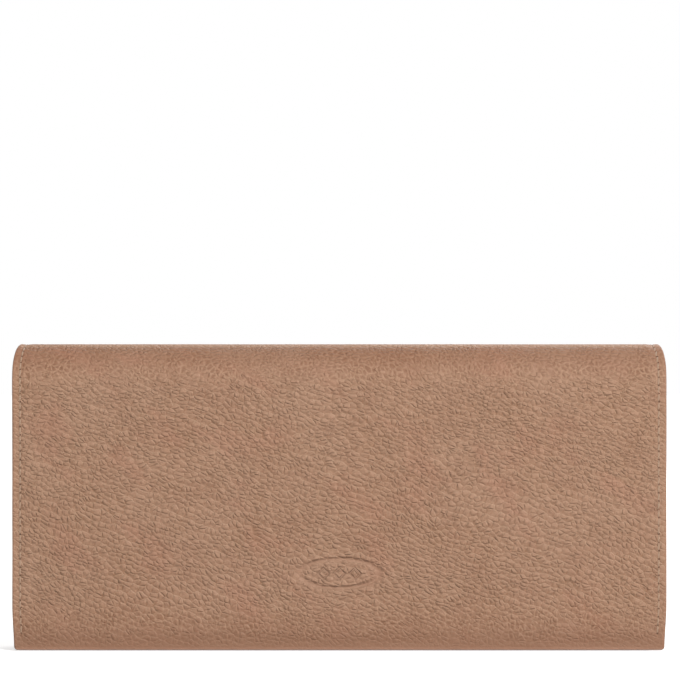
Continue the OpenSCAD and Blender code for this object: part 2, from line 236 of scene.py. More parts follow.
def pebbled_leather():
    """Drum-milled calf, semi-aniline, pale tan: rounded pebbles between soft creases."""
    made, tree, shader = new_material("Milled pebble-grain calf, semi-aniline pale tan")
    look = bpy.context.scene.wallet_leather
    at = add(tree, "UVMap", uv_map="lengths")
    parts = add(tree, "SeparateXYZ", {0: at}, None)
    x, s = parts.outputs[0], parts.outputs[1]
    edge = add(tree, "Attribute", out="Fac", attribute_name="edge")

    # Over the fold the hide is flattened at the crown, with a painted highlight along its ridge and painted
    # shade where it bends away to each side, and drawn tight on its shoulders; by the lower edge it lies
    # double and is drawn tight too
    from_crown = add(tree, "Math", (s, CROWN * MM), operation="SUBTRACT")
    from_crown = add(tree, "Math", {0: from_crown}, operation="ABSOLUTE")
    crown = add(tree, "MapRange", (from_crown, 0.002, 0.007, 1.0, 0.0), **SMOOTH)
    # painted highlight along the ridge of the crown, where it faces up to the lamps
    ridge_highlight = add(tree, "MapRange", (from_crown, 0.0026, 0.0054, 1.0, 0.0), **SMOOTH)
    # painted shade in a band on each side of the crown, where the hide bends away from the lamps
    bend_shade = add(
        tree, "Math",
        (
            add(tree, "MapRange", (from_crown, 0.003, 0.0055), **SMOOTH),
            add(tree, "MapRange", (from_crown, 0.0095, 0.018, 1.0, 0.0), **SMOOTH),
        ),
        operation="MULTIPLY",
    )
    shoulder = add(
        tree, "Math",
        (
            add(tree, "MapRange", (from_crown, 0.003, 0.009), **SMOOTH),
            add(tree, "MapRange", (from_crown, 0.013, 0.021, 1.0, 0.0), **SMOOTH),
        ),
        operation="MULTIPLY",
    )
    hem = add(tree, "MapRange", (s, 0.006, 0.016, 1.0, 0.0), **SMOOTH)
    drawn = add(tree, "Math", (shoulder, hem), operation="MAXIMUM")

    # Pebbles, wandering so that no two are alike, in rows that run down to the right
    wander = add(
        tree, "TexNoise", {"Vector": at, "Scale": 1 / 0.006, "Detail": 2.0}, 1, noise_dimensions="2D"
    )
    wander = add(tree, "VectorMath", {0: wander, 1: (0.5, 0.5, 0.5)}, operation="SUBTRACT")
    wander = add(tree, "VectorMath", {0: wander, 3: 0.0016}, operation="SCALE")
    moved = add(tree, "VectorMath", {0: at, 1: wander}, operation="ADD")
    drift = add(tree, "TexNoise", {"Vector": at, "Scale": 1 / 0.042, "Detail": 1.0}, 1, noise_dimensions="2D")
    drift = add(tree, "VectorMath", {0: drift, 3: 0.007}, operation="SCALE")
    moved = add(tree, "VectorMath", {0: moved, 1: drift}, operation="ADD")
    small = add(
        tree, "Mapping",
        {0: moved, 2: (0, 0, -0.36), 3: (look.grain_width, look.grain_height, look.grain_height)},
        **REAL_SIZE,
    )
    domes = add(
        tree, "TexVoronoi", {"Vector": small, "Scale": 1.0, "Randomness": 0.82}, None, feature="F1",
        voronoi_dimensions="2D",
    )
    dome = add(tree, "MapRange", (domes.outputs["Distance"], 0.05, 0.75, 1.0, 0.0), **SMOOTH)
    between = add(
        tree, "TexVoronoi", {"Vector": small, "Scale": 1.0, "Randomness": 0.82}, feature="DISTANCE_TO_EDGE",
        voronoi_dimensions="2D",
    )
    flank = add(tree, "MapRange", (between, 0.0, 0.22), **SMOOTH)
    # each pebble leans: its upper side stands proud and its lower side runs down to the next
    lean = add(tree, "VectorMath", {0: small, 1: domes.outputs["Position"]}, operation="SUBTRACT")
    lean = add(tree, "MapRange", (add(tree, "SeparateXYZ", {0: lean}, 1), -0.6, 0.6), **SMOOTH)
    tiny = add(tree, "Mapping", {0: moved, 2: (0, 0, 0.5), 3: (0.0011, 0.0008, 0.0008)}, **REAL_SIZE)
    tiny = add(tree, "TexVoronoi", {"Vector": tiny, "Scale": 1.0}, voronoi_dimensions="2D")
    tiny = add(tree, "MapRange", (tiny, 0.1, 0.75, 1.0, 0.0), **SMOOTH)
    # Longer creases across them, here and there
    slant = add(tree, "Mapping", {0: moved, 2: (0, 0, -0.9), 3: (0.0085, 0.0036, 0.0036)}, **REAL_SIZE)
    slant = add(
        tree, "TexVoronoi", {"Vector": slant, "Scale": 1.0}, feature="DISTANCE_TO_EDGE",
        voronoi_dimensions="2D",
    )
    slant = add(tree, "MapRange", (slant, 0.0, 0.2, 1.0, 0.0), **SMOOTH)
    here = add(tree, "TexNoise", {"Vector": at, "Scale": 1 / 0.011, "Detail": 1.0}, noise_dimensions="2D")
    here = add(tree, "MapRange", (here, 0.4, 0.6), **SMOOTH)
    crease = add(
        tree, "Math", (slant, add(tree, "Math", (here, -1.0), operation="MULTIPLY"), 1.0),
        operation="MULTIPLY_ADD",
    )
    # Small upright scales where the hide is drawn tight
    scales = add(tree, "Mapping", {0: moved, 2: (0, 0, 0.25), 3: (0.0013, 0.0019, 0.0019)}, **REAL_SIZE)
    scales = add(
        tree, "TexVoronoi", {"Vector": scales, "Scale": 1.0}, feature="DISTANCE_TO_EDGE",
        voronoi_dimensions="2D",
    )
    scales = add(tree, "MapRange", (scales, 0.0, 0.3), **SMOOTH)
    pores = add(
        tree, "TexNoise", {"Vector": at, "Scale": 1 / 0.00022, "Detail": 3.0, "Roughness": 0.65},
        noise_dimensions="2D",
    )
    soft = add(tree, "TexNoise", {"Vector": at, "Scale": 1 / 0.0042}, noise_dimensions="2D")

    pebble = add(
        tree, "Math", (dome, 0.5, add(tree, "Math", (lean, 0.5), operation="MULTIPLY")),
        operation="MULTIPLY_ADD",
    )
    pebble = add(tree, "Math", (flank, pebble), operation="MULTIPLY")
    relief = add(
        tree, "Math", (pebble, 0.42, add(tree, "Math", (crease, 0.14), operation="MULTIPLY")),
        operation="MULTIPLY_ADD",
    )
    relief = add(tree, "Math", (tiny, 0.12, relief), operation="MULTIPLY_ADD")
    relief = add(tree, "Math", (soft, 0.14, relief), operation="MULTIPLY_ADD")
    # less relief over the crown, by the lower edge, by the sides and where it is drawn tight
    worn = (
        add(tree, "MapRange", (crown, 0.0, 1.0, 1.0, 0.6), **SMOOTH),
        add(tree, "MapRange", (s, 0.0005, 0.006, 0.45, 1.0), **SMOOTH),
        add(tree, "MapRange", (edge, 0.0004, 0.0034, 0.45, 1.0), **SMOOTH),
        add(tree, "Math", (drawn, -0.4, 1.0), operation="MULTIPLY_ADD"),
    )
    for share in worn:
        relief = add(tree, "Math", (relief, share), operation="MULTIPLY")
    relief = add(tree, "Math", (pores, 0.05, relief), operation="MULTIPLY_ADD")

    # Needle holes of the side seams
    pitch = bpy.context.scene.wallet_sewing.pitch * MM
    off_line = add(tree, "Math", (edge, SEAM_INSET * MM), operation="SUBTRACT")
    along = add(tree, "Math", (repeated(tree, s, pitch), pitch), operation="MULTIPLY")
    away = far(tree, off_line, along)
    first, last = SEAM_ENDS
    begun = add(tree, "MapRange", (s, (first - 0.2) * MM, (first + 0.2) * MM), **SMOOTH)
    sewn = add(
        tree, "Math",
        (begun, add(tree, "MapRange", (s, (last - 0.2) * MM, (last + 0.2) * MM, 1.0, 0.0), **SMOOTH)),
        operation="MULTIPLY",
    )
    # painted shade: each needle hole is darkened as well as dented
    hole = add(
        tree, "Math", (add(tree, "MapRange", (away, 0.0001, 0.00036, 1.0, 0.0), **SMOOTH), sewn),
        operation="MULTIPLY",
    )

    # A plain oval pressed in blind, low on the flap
    ox = add(tree, "Math", (x, OVAL[0] * MM), operation="DIVIDE")
    oy = add(tree, "Math", (s, OVAL_S * MM), operation="SUBTRACT")
    oy = add(tree, "Math", (oy, OVAL[1] * MM), operation="DIVIDE")
    oval = far(tree, ox, oy)
    ring = add(tree, "Math", {0: add(tree, "Math", (oval, 1.0), operation="SUBTRACT")}, operation="ABSOLUTE")
    ring = add(tree, "MapRange", (ring, 0.02, 0.2, 1.0, 0.0), **SMOOTH)
    # three diamonds in its middle, each drawn as a thin line
    beside = add(tree, "Math", {0: repeated(tree, x, DIAMOND_PITCH * MM)}, operation="ABSOLUTE")
    above = add(tree, "Math", (add(tree, "Math", {0: oy}, operation="ABSOLUTE"), 0.9), operation="MULTIPLY")
    off_diamond = add(tree, "Math", (beside, above), operation="ADD")
    off_diamond = add(tree, "Math", (off_diamond, 0.34), operation="SUBTRACT")
    off_diamond = add(tree, "Math", {0: off_diamond}, operation="ABSOLUTE")
    half_row = 1.5 * DIAMOND_PITCH * MM
    in_row = add(tree, "Math", {0: x}, operation="ABSOLUTE")
    in_row = add(tree, "MapRange", (in_row, half_row, half_row + 0.0001, 1.0, 0.0), **SMOOTH)
    diamonds = add(tree, "MapRange", (off_diamond, 0.02, 0.13, 1.0, 0.0), **SMOOTH)
    diamonds = add(tree, "Math", (diamonds, in_row), operation="MULTIPLY")
    pressed = add(tree, "Math", (ring, diamonds), operation="MAXIMUM")
    plateau = add(tree, "MapRange", (oval, 0.9, 1.7, 1.0, 0.0), **SMOOTH)

    relief = add(
        tree, "Math", (relief, add(tree, "Math", (pressed, -0.8, 1.0), operation="MULTIPLY_ADD")),
        operation="MULTIPLY",
    )
    height = add(tree, "Math", (hole, -0.3, relief), operation="MULTIPLY_ADD")
    height = add(tree, "Math", (pressed, -0.1, height), operation="MULTIPLY_ADD")
    normal = add(tree, "Bump", {"Height": height, "Distance": look.grain_depth})

    # Colour: painted shade in the creases and on the lower side of each pebble, a painted highlight along
    # each pebble's upper edge, and the edges rubbed
    tone = add(
        tree, "Math", (flank, 0.6, add(tree, "Math", (crease, 0.4), operation="MULTIPLY")),
        operation="MULTIPLY_ADD",
    )
    # painted highlight: a pale line along the upper edge of each pebble, the side that faces the key lamp
    lit_streak = add(
        tree, "Math",
        (
            add(tree, "MapRange", (between, 0.03, 0.2, 1.0, 0.0), **SMOOTH),
            add(tree, "MapRange", (lean, 0.4, 0.75), **SMOOTH),
        ),
        operation="MULTIPLY",
    )
    # painted shade along the lower edge of each pebble, the side turned away from the lamps
    shade = add(
        tree, "Math",
        (
            add(tree, "MapRange", (between, 0.01, 0.11, 1.0, 0.0), **SMOOTH),
            add(tree, "MapRange", (lean, 0.45, 0.75, 1.0, 0.0), **SMOOTH),
        ),
        operation="MULTIPLY",
    )
    stretched = add(tree, "Mix", {0: scales, 6: srgb("#b58e72"), 7: srgb("#8a6147")}, 2, **COLOURS)
    patchy = add(tree, "TexNoise", {"Vector": at, "Scale": 1 / 0.007}, noise_dimensions="2D")
    patchy = add(tree, "MapRange", (patchy, 0.3, 0.65, 0.35, 0.75), **SMOOTH)
    clouds = add(tree, "TexNoise", {"Vector": at, "Scale": 1 / 0.026}, noise_dimensions="2D")
    clouds = add(tree, "MapRange", (clouds, 0.3, 0.7), **SMOOTH)
    blotch = add(tree, "Mapping", {0: at, 2: (0, 0, -0.5), 3: (1.0, 0.8, 0.8)}, **REAL_SIZE)
    blotch = add(
        tree, "TexNoise", {"Vector": blotch, "Scale": 1 / 0.011, "Detail": 3.0}, noise_dimensions="2D"
    )
    blotch = add(tree, "MapRange", (blotch, 0.48, 0.72), **SMOOTH)
    flush = add(tree, "Mapping", {0: at, 2: (0, 0, -0.6), 3: (1.4, 0.7, 0.7)}, **REAL_SIZE)
    flush = add(tree, "TexNoise", {"Vector": flush, "Scale": 1 / 0.016, "Detail": 3.0}, noise_dimensions="2D")
    flush = add(tree, "MapRange", (flush, 0.52, 0.74), **SMOOTH)
    # painted shade: darker towards the flap's lower edge
    low = add(tree, "MapRange", (s, 0.0, 0.013, 1.0, 0.0), **SMOOTH)
    # painted highlight on the rounded lower edge of the flap
    lip = add(tree, "MapRange", (s, 0.0003, 0.0009, 1.0, 0.0), **SMOOTH)
    rubbed = add(tree, "MapRange", (edge, 0.0002, 0.0011, 1.0, 0.0), **SMOOTH)
    # painted shade: the creases take the darker colour, the pebbles' tops the lighter
    shaded_in_creases = {0: tone, 6: tuple(look.crease_shade_colour), 7: tuple(look.pebble_colour)}
    colour = tinted(
        tree,
        add(tree, "Mix", shaded_in_creases, 2, **COLOURS),
        (lit_streak, 0.4, srgb("#c9a68c")),
        (shade, 0.42, srgb("#86563b")),
        (drawn, patchy, stretched),
        (bend_shade, 0.5, srgb("#8f6248")),
        (ridge_highlight, 0.7, srgb("#ba8f72")),
        (clouds, 0.16, srgb("#b5927a")),
        (blotch, 0.2, srgb("#946a52")),
        (flush, 0.3, srgb("#ad7a62")),
        (plateau, 0.35, srgb("#b38d74")),
        (pressed, 0.2, srgb("#8d6550")),
        (low, 0.85, srgb("#8f6850")),
        (lip, 0.8, srgb("#bb9179")),
        (rubbed, 0.35, srgb("#a3745c")),
        (hole, 0.6, srgb("#6b4c38")),
    )
    roughness = add(tree, "Math", (relief, -0.1, 0.6), operation="MULTIPLY_ADD")
    uneven = add(tree, "TexNoise", {"Vector": at, "Scale": 1 / 0.0016}, noise_dimensions="2D")
    roughness = add(tree, "Math", (uneven, 0.08, roughness), operation="MULTIPLY_ADD")
    roughness = add(tree, "Math", (rubbed, -0.1, roughness), operation="MULTIPLY_ADD")
    finish_shader(tree, shader, colour, roughness, normal, Specular_IOR_Level=0.42)
    return made


def smooth_leather():
    """Corrected-grain calf for the inside, the same dye a little deeper."""
    made, tree, shader = new_material("Corrected-grain calf, polished tan")
    at = add(tree, "TexCoord", out="Object")
    edge = add(tree, "Attribute", out="Fac", attribute_name="edge")
    moved = add(tree, "TexNoise", {"Vector": at, "Scale": 1 / 0.004, "Detail": 2.0}, 1)
    moved = add(tree, "VectorMath", {0: moved, 3: 0.0012}, operation="SCALE")
    moved = add(tree, "VectorMath", {0: at, 1: moved}, operation="ADD")
    grain = add(tree, "TexVoronoi", {"Vector": moved, "Scale": 1 / 0.00095}, feature="DISTANCE_TO_EDGE")
    grain = add(tree, "MapRange", (grain, 0.0, 0.3), **SMOOTH)
    veins = add(tree, "TexNoise", {"Vector": at, "Scale": 1 / 0.0022, "Detail": 3.0})
    veins = add(tree, "MapRange", (veins, 0.3, 0.7), **SMOOTH)
    pores = add(tree, "TexNoise", {"Vector": at, "Scale": 1 / 0.00024, "Detail": 3.0, "Roughness": 0.6})
    relief = add(
        tree, "Math", (grain, 0.5, add(tree, "Math", (veins, 0.34), operation="MULTIPLY")),
        operation="MULTIPLY_ADD",
    )
    relief = add(tree, "Math", (pores, 0.16, relief), operation="MULTIPLY_ADD")
    clouds = add(tree, "TexNoise", {"Vector": at, "Scale": 1 / 0.018, "Detail": 3.0})
    clouds = add(tree, "MapRange", (clouds, 0.3, 0.7), **SMOOTH)
    rubbed = add(tree, "MapRange", (edge, 0.0001, 0.0007, 1.0, 0.0), **SMOOTH)
    colour = add(tree, "Mix", {0: relief, 6: srgb("#8d6953"), 7: srgb("#a5806a")}, 2, **COLOURS)
    colour = tinted(tree, colour, (clouds, 0.3, srgb("#916c57")), (rubbed, 0.6, srgb("#7c553f")))
    roughness = add(tree, "Math", (pores, 0.12, 0.42), operation="MULTIPLY_ADD")
    roughness = add(tree, "Math", (rubbed, -0.08, roughness), operation="MULTIPLY_ADD")
    normal = add(tree, "Bump", {"Height": relief, "Distance": 0.00016})
    finish_shader(tree, shader, colour, roughness, normal, Specular_IOR_Level=0.45)
    return made


def twill(name, dark, light, rib, roughness=0.85, sheen=0.1):
    """Cloth woven in a twill: ribs rib metres apart run up across the threads."""
    made, tree, shader = new_material(name)
    at = add(tree, "UVMap", uv_map="lengths")
    parts = add(tree, "SeparateXYZ", {0: at}, None)
    turn = 2 * math.pi / rib
    uneven = add(tree, "TexNoise", {"Vector": at, "Scale": 1 / 0.003}, noise_dimensions="2D")
    across = add(tree, "Math", (parts.outputs[0], turn), operation="MULTIPLY")
    along = add(tree, "Math", (parts.outputs[1], turn), operation="MULTIPLY")
    slope = add(
        tree, "Math", (across, 0.5, add(tree, "Math", (along, 0.5), operation="MULTIPLY")),
        operation="MULTIPLY_ADD",
    )
    slope = add(
        tree, "Math", (slope, add(tree, "Math", (uneven, 1.4), operation="MULTIPLY")), operation="ADD"
    )
    ribs = add(
        tree, "Math", (add(tree, "Math", {0: slope}, operation="SINE"), 0.5, 0.5), operation="MULTIPLY_ADD"
    )
    warp = add(tree, "Math", {0: add(tree, "Math", (across, 1.5), operation="MULTIPLY")}, operation="SINE")
    weft = add(tree, "Math", {0: add(tree, "Math", (along, 1.5), operation="MULTIPLY")}, operation="SINE")
    threads = add(tree, "Math", (warp, weft), operation="MULTIPLY")
    weave = add(
        tree, "Math", (threads, 0.22, add(tree, "Math", (ribs, 0.7), operation="MULTIPLY")),
        operation="MULTIPLY_ADD",
    )
    fuzz = add(
        tree, "TexNoise", {"Vector": at, "Scale": 1 / 0.0002, "Detail": 3.0, "Roughness": 0.7},
        noise_dimensions="2D",
    )
    weave = add(tree, "Math", (fuzz, 0.3, weave), operation="MULTIPLY_ADD")
    clouds = add(tree, "TexNoise", {"Vector": at, "Scale": 1 / 0.02}, noise_dimensions="2D")
    colour = add(tree, "Mix", {0: weave, 6: srgb(dark), 7: srgb(light)}, 2, **COLOURS)
    colour = tinted(tree, colour, (clouds, 0.25, srgb(dark)))
    normal = add(tree, "Bump", {"Height": weave, "Distance": rib * 0.14})
    finish_shader(tree, shader, colour, roughness, normal, Sheen_Weight=sheen, Specular_IOR_Level=0.25)
    return made


def bonded_thread():
    """Bonded polyester sewing thread, three plies, a shade lighter than the leather."""
    made, tree, shader = new_material("Bonded polyester thread, sand")
    at = add(tree, "UVMap", uv_map="lengths")
    parts = add(tree, "SeparateXYZ", {0: at}, None)
    twist = add(
        tree, "Math",
        (parts.outputs[0], 12.0, add(tree, "Math", (parts.outputs[1], 26.0), operation="MULTIPLY")),
        operation="MULTIPLY_ADD",
    )
    plies = add(tree, "Math", {0: add(tree, "Math", {0: twist}, operation="SINE")}, operation="ABSOLUTE")
    spots = add(tree, "TexNoise", {"Vector": add(tree, "TexCoord", out="Object"), "Scale": 1 / 0.0007})
    thread = tuple(bpy.context.scene.wallet_sewing.thread_colour)
    # painted shade in the grooves between the plies; the thread colour shows where they stand proud
    colour = add(tree, "Mix", {0: plies, 6: srgb("#977760"), 7: thread}, 2, **COLOURS)
    colour = tinted(tree, colour, (spots, 0.25, srgb("#a5836b")))
    normal = add(tree, "Bump", {"Height": plies, "Distance": 0.00008})
    finish_shader(tree, shader, colour, 0.55, normal, Sheen_Weight=0.15)
    return made


def brass(name, light, dark, polish):
    """Cast zinc plated in pale brass: fine hairlines and a little tarnish in patches."""
    made, tree, shader = new_material(name)
    at = add(tree, "TexCoord", out="Object")
    tarnish = add(tree, "TexNoise", {"Vector": at, "Scale": 1 / 0.0016, "Detail": 4.0, "Roughness": 0.6})
    tarnish = add(tree, "MapRange", (tarnish, 0.35, 0.8), **SMOOTH)
    lines = add(tree, "Mapping", {0: at, 3: (0.0008, 0.00009, 0.00009)}, **REAL_SIZE)
    lines = add(tree, "TexNoise", {"Vector": lines, "Scale": 1.0})
    cast = add(tree, "TexNoise", {"Vector": at, "Scale": 1 / 0.0005, "Detail": 3.0})
    colour = add(tree, "Mix", {0: tarnish, 6: srgb(light), 7: srgb(dark)}, 2, **COLOURS)
    roughness = add(tree, "Math", (tarnish, 0.16, polish), operation="MULTIPLY_ADD")
    roughness = add(tree, "Math", (lines, 0.1, roughness), operation="MULTIPLY_ADD")
    relief = add(tree, "Math", (lines, 0.4, cast), operation="MULTIPLY_ADD")
    normal = add(tree, "Bump", {"Height": relief, "Distance": 0.000012})
    finish_shader(tree, shader, colour, roughness, normal, Metallic=1.0)
    return made


def greyboard():
    """Pressed board that stiffens the covers."""
    made, tree, shader = new_material("Pressed fibre board, raw")
    at = add(tree, "TexCoord", out="Object")
    fibres = add(tree, "Mapping", {0: at, 3: (0.0016, 0.0004, 0.0004)}, **REAL_SIZE)
    fibres = add(tree, "TexNoise", {"Vector": fibres, "Scale": 1.0, "Detail": 4.0, "Roughness": 0.7})
    colour = add(tree, "Mix", {0: fibres, 6: srgb("#a89a86"), 7: srgb("#d0c3ae")}, 2, **COLOURS)
    normal = add(tree, "Bump", {"Height": fibres, "Distance": 0.00004})
    finish_shader(tree, shader, colour, 0.9, normal)
    return made


def material(key):
    """The material of that name, made the first time that it is asked for."""
    makers = {
        "pebbled": pebbled_leather,
        "smooth": smooth_leather,
        "lining": lambda: twill("Cotton twill lining, cocoa", "#78594a", "#937361", 0.00055),
        "gusset": lambda: twill("Cotton twill gusset, tan", "#876855", "#9e7d69", 0.0006),
        "tape": lambda: twill("Woven polyester zip tape, tan", "#7a5a47", "#a98871", 0.0007, 0.8, 0.15),
        "thread": bonded_thread,
        "zip brass": lambda: brass("Zip brass, brushed", "#d8c69c", "#a58f63", 0.24),
        "snap brass": lambda: brass("Stud brass, polished", "#dccaa0", "#ab966a", 0.16),
        "board": greyboard,
    }
    made = bpy.context.scene.wallet_made.get(key)
    if made is None:
        made = bpy.context.scene.wallet_made[key] = makers[key]()
    return made


# ---------------------------------------------------------------- shapes


def to_object(bm, name, surface):
    """The finished mesh as an object at the origin."""
    mesh = bpy.data.meshes.new(name)
    bm.to_mesh(mesh)
    bm.free()
    mesh.materials.append(material(surface))
    made = bpy.data.objects.new(name, mesh)
    bpy.context.scene.collection.objects.link(made)
    return made


def evenly(low, high, pitch):
    """Places from low to high, evenly spread and no more than pitch apart."""
    count = max(1, math.ceil((high - low) / pitch))
    return [low + (high - low) * i / count for i in range(count + 1)]


def steps(length, pitch, first=(0.0,), last=(0.0,)):
    """Places from 0 to length about pitch apart, closer by the ends as first and last say."""
    middle = evenly(first[-1], length - last[-1], pitch)
    return [*first[:-1], *middle, *[length - e for e in reversed(last[:-1])]]


def finer(places, low, high, pitch):
    """The same places, but about pitch apart from low to high."""
    before = [p for p in places if p < low - pitch / 2]
    after = [p for p in places if p > high + pitch / 2]
    return [*before, *evenly(low, high, pitch), *after]


def round_rim(thickness):
    """Where the mesh has its rows, from the edge inwards, along the round rim of a sheet."""
    return tuple(e * thickness / 1.5 for e in ROUND)


def round_off(near, radius):
    """How far a rounded rim lies inwards, near being the distance from its edge."""
    return 0.0 if near >= radius else radius - math.sqrt(max(0.0, radius**2 - (radius - near) ** 2))


def ease(t):
    t = min(1.0, max(0.0, t))
    return t * t * (3 - 2 * t)


def shell(name, across, along, place, surface):
    """A closed sheet: an outside and an inside grid, welded where they meet.
    place(a, b, side) gives a point, its place on the flat sheet and its distance from the edge,
    in millimetres."""
    bm = bmesh.new()
    lengths = bm.loops.layers.uv.new("lengths")
    edge = bm.verts.layers.float.new("edge")
    columns, rows = len(across) - 1, len(along) - 1
    for side in (1, -1):
        grid = bmesh.ops.create_grid(bm, x_segments=columns, y_segments=rows, size=1)["verts"]
        flat = {}
        for v in grid:
            a = across[round((v.co.x + 1) / 2 * columns)]
            b = along[round((v.co.y + 1) / 2 * rows)]
            point, flat[v], near = place(a, b, side)
            v.co = Vector(point) * MM
            v[edge] = near * MM
        for face in {f for v in grid for f in v.link_faces}:
            for loop in face.loops:
                loop[lengths].uv = Vector(flat[loop.vert]) * MM
    rim = [v for v in bm.verts if v.is_boundary]
    bmesh.ops.remove_doubles(bm, verts=rim, dist=1e-6)
    open_edges = [e for e in bm.edges if e.is_boundary]
    if open_edges:
        caps = bmesh.ops.holes_fill(bm, edges=open_edges)["faces"]
        for e in {e for f in caps for e in f.edges}:
            e.smooth = False
    else:
        caps = []
    bmesh.ops.recalc_face_normals(bm, faces=bm.faces)
    for face in bm.faces:
        face.smooth = face not in caps
    return to_object(bm, name, surface)


def plate(name, x_range, z_range, y_face, thickness, facing, surface, relief=None, pitch=2.5, corner=0.0):
    """An upright sheet with round edges whose face towards facing (1 back, -1 front) lies at y_face.
    relief(x, z, near) says how far that face dips."""
    x0, x1 = x_range
    z0, z1 = z_range
    radius = thickness / 2
    ends = (*round_rim(thickness), 1.0, 1.6, 2.6)
    middle = (x0 + x1) / 2

    def place(a, b, side):
        inset = round_off(min(b, z1 - z0 - b), corner) if corner else 0.0
        x = middle + (a - (x1 - x0) / 2) * (1 - 2 * inset / (x1 - x0))
        z = z0 + b
        near = min(a, x1 - x0 - a, b, z1 - z0 - b)
        depth = round_off(near, radius)
        if side > 0:
            depth += relief(x, z, near) * ease(near / radius) if relief else 0.0
        else:
            depth = thickness - depth
        return (x, y_face - facing * depth, z), (x, z), near

    across, along = steps(x1 - x0, pitch, ends, ends), steps(z1 - z0, pitch, ends, ends)
    return shell(name, across, along, place, surface)


def stitches(name, places):
    """A short thread between each pair of needle holes.
    places gives the middle, the way along and the way up of each."""
    sewing = bpy.context.scene.wallet_sewing
    bm = bmesh.new()
    bm.loops.layers.uv.new("lengths")
    for middle, along, up in places:
        along, up = Vector(along).normalized(), Vector(up).normalized()
        along = (along + along.cross(up) * 0.1).normalized()
        turn = Matrix((along.cross(up), up, along)).transposed().to_4x4()
        made = bmesh.ops.create_uvsphere(bm, u_segments=8, v_segments=7, radius=0.5, calc_uvs=True)["verts"]
        for v in made:
            # straighter than an egg, so that the thread dives into its holes
            v.co.xy *= 1 + 1.1 * v.co.z**2
            v.co.x *= sewing.thread
            v.co.y = v.co.y * sewing.thread * 0.8 - 0.35 * v.co.z**2
            v.co.z *= sewing.pitch * 0.92
        matrix = Matrix.Translation(Vector(middle) * MM) @ turn @ Matrix.Scale(MM, 4)
        bmesh.ops.transform(bm, matrix=matrix, verts=made)
    for face in bm.faces:
        face.smooth = True
    return to_object(bm, name, "thread")


# ---------------------------------------------------------------- outer leather


def outer_path(s):
    """The outer face s along from the flap's lower edge: y, z, and the way out."""
    if s < FLAP_LENGTH:
        return -DEPTH, FLAP_Z + s, -1.0, 0.0
    if s < BACK_TOP:
        turn = (s - FLAP_LENGTH) / DEPTH
        return -DEPTH * math.cos(turn), ARCH_Z + DEPTH * math.sin(turn), -math.cos(turn), math.sin(turn)
    if s < BACK_LOW:
        return DEPTH, ARCH_Z - (s - BACK_TOP), 1.0, 0.0
    if s < BOTTOM_REAR:
        turn = (s - BACK_LOW) / BOTTOM_FOLD
        y = DEPTH - BOTTOM_FOLD
        return (y + BOTTOM_FOLD * math.cos(turn), BOTTOM_FOLD * (1 - math.sin(turn)),
                math.cos(turn), -math.sin(turn))
    return DEPTH - BOTTOM_FOLD - (s - BOTTOM_REAR), 0.0, 0.0, -1.0


def half_width(s, side=1):
    """Half the leather's width: pinched over the crown, drawn in by the lower corners, cut by hand."""
    half = WIDTH / 2
    rise = DEPTH * math.cos(min(1.4, abs(s - CROWN) / DEPTH)) if abs(s - CROWN) < 1.4 * DEPTH else 0.0
    t = max(0.0, (rise - 4.0) / (DEPTH - 4.0))
    half -= CROWN_PINCH * (1 - math.sqrt(max(0.012, 1 - t * t)))
    half -= 0.55 * (1 - ease(s / 13.0)) + round_off(s, 1.1) * 0.9
    half -= 0.3 * ease((s - BACK_LOW + 6) / 9.0)
    return half - 0.12 * (0.5 + 0.5 * noise.noise(Vector((s / 17.0, side * 7.0, 0.3))))


def pressed_in(x, s):
    """How deep the blind oval is pressed into the flap: its ring, and the field inside it."""
    off = s - OVAL_S
    oval = max(0.05, math.hypot(x / OVAL[0], off / OVAL[1]))
    if oval > 1.8:
        return 0.0
    slope = math.hypot(x / OVAL[0] ** 2, off / OVAL[1] ** 2) / oval
    from_ring = (oval - 1) / max(0.02, slope)
    return 0.2 * math.exp(-((from_ring / 0.5) ** 2)) + 0.1 * (1 - ease((from_ring + 0.9) / 1.6))


def unevenness(x, s, near):
    """How far the soft leather dips, and how it follows what lies under it."""
    depth = bpy.context.scene.wallet_leather.softness
    slow = noise.noise(Vector((x / 21.0, s / 15.0, 1.7)))
    quick = noise.noise(Vector(((x + 0.6 * s) / 8.5, (s - 0.4 * x) / 5.5, 4.1)))
    dip = depth * (0.42 + 0.5 * slow + 0.3 * quick)
    fold = math.exp(-(((s - CROWN) / 9.0) ** 2))
    dip += 0.14 * ease((near - TURN_IN + 0.6) / 1.2)
    dip *= 1 - 0.9 * fold
    dip += 0.2 * math.exp(-(((near - SEAM_INSET) / 0.65) ** 2)) if near < 6 else 0.0
    return max(0.0, dip) + pressed_in(x, s)


def leather_place(low):
    """place() for the part of the outer leather that starts at a length."""
    half_w = WIDTH / 2

    def place(a, b, side):
        s = low + b
        which = 1 if a > half_w else -1
        half = half_width(s, which)
        x = (a - half_w) / half_w * half
        sideways = half - abs(x)
        near = min(sideways, s)
        y, z, ny, nz = outer_path(s)
        in_arch = ease(min(s - FLAP_LENGTH + 3, BACK_TOP + 3 - s) / 4.0)
        lower = ease((s - BACK_LOW + 5) / 4.0)
        rim = TURNED_EDGE - (TURNED_EDGE - LEATHER) * max(in_arch, lower)
        depth = round_off(near, rim / 2)
        if side > 0:
            depth += unevenness(x, s, near) * ease((near - 0.1) / 1.2) * ease((LEATHER_END - s) / 6)
        else:
            depth = LEATHER + (rim - LEATHER) * ease((TURN_IN - near) / 0.5) - depth
        seam = sideways if s > 3 else 0.0
        return (x, y - ny * depth, z - nz * depth), (x, s), seam if seam and seam < 4 else near

    return place


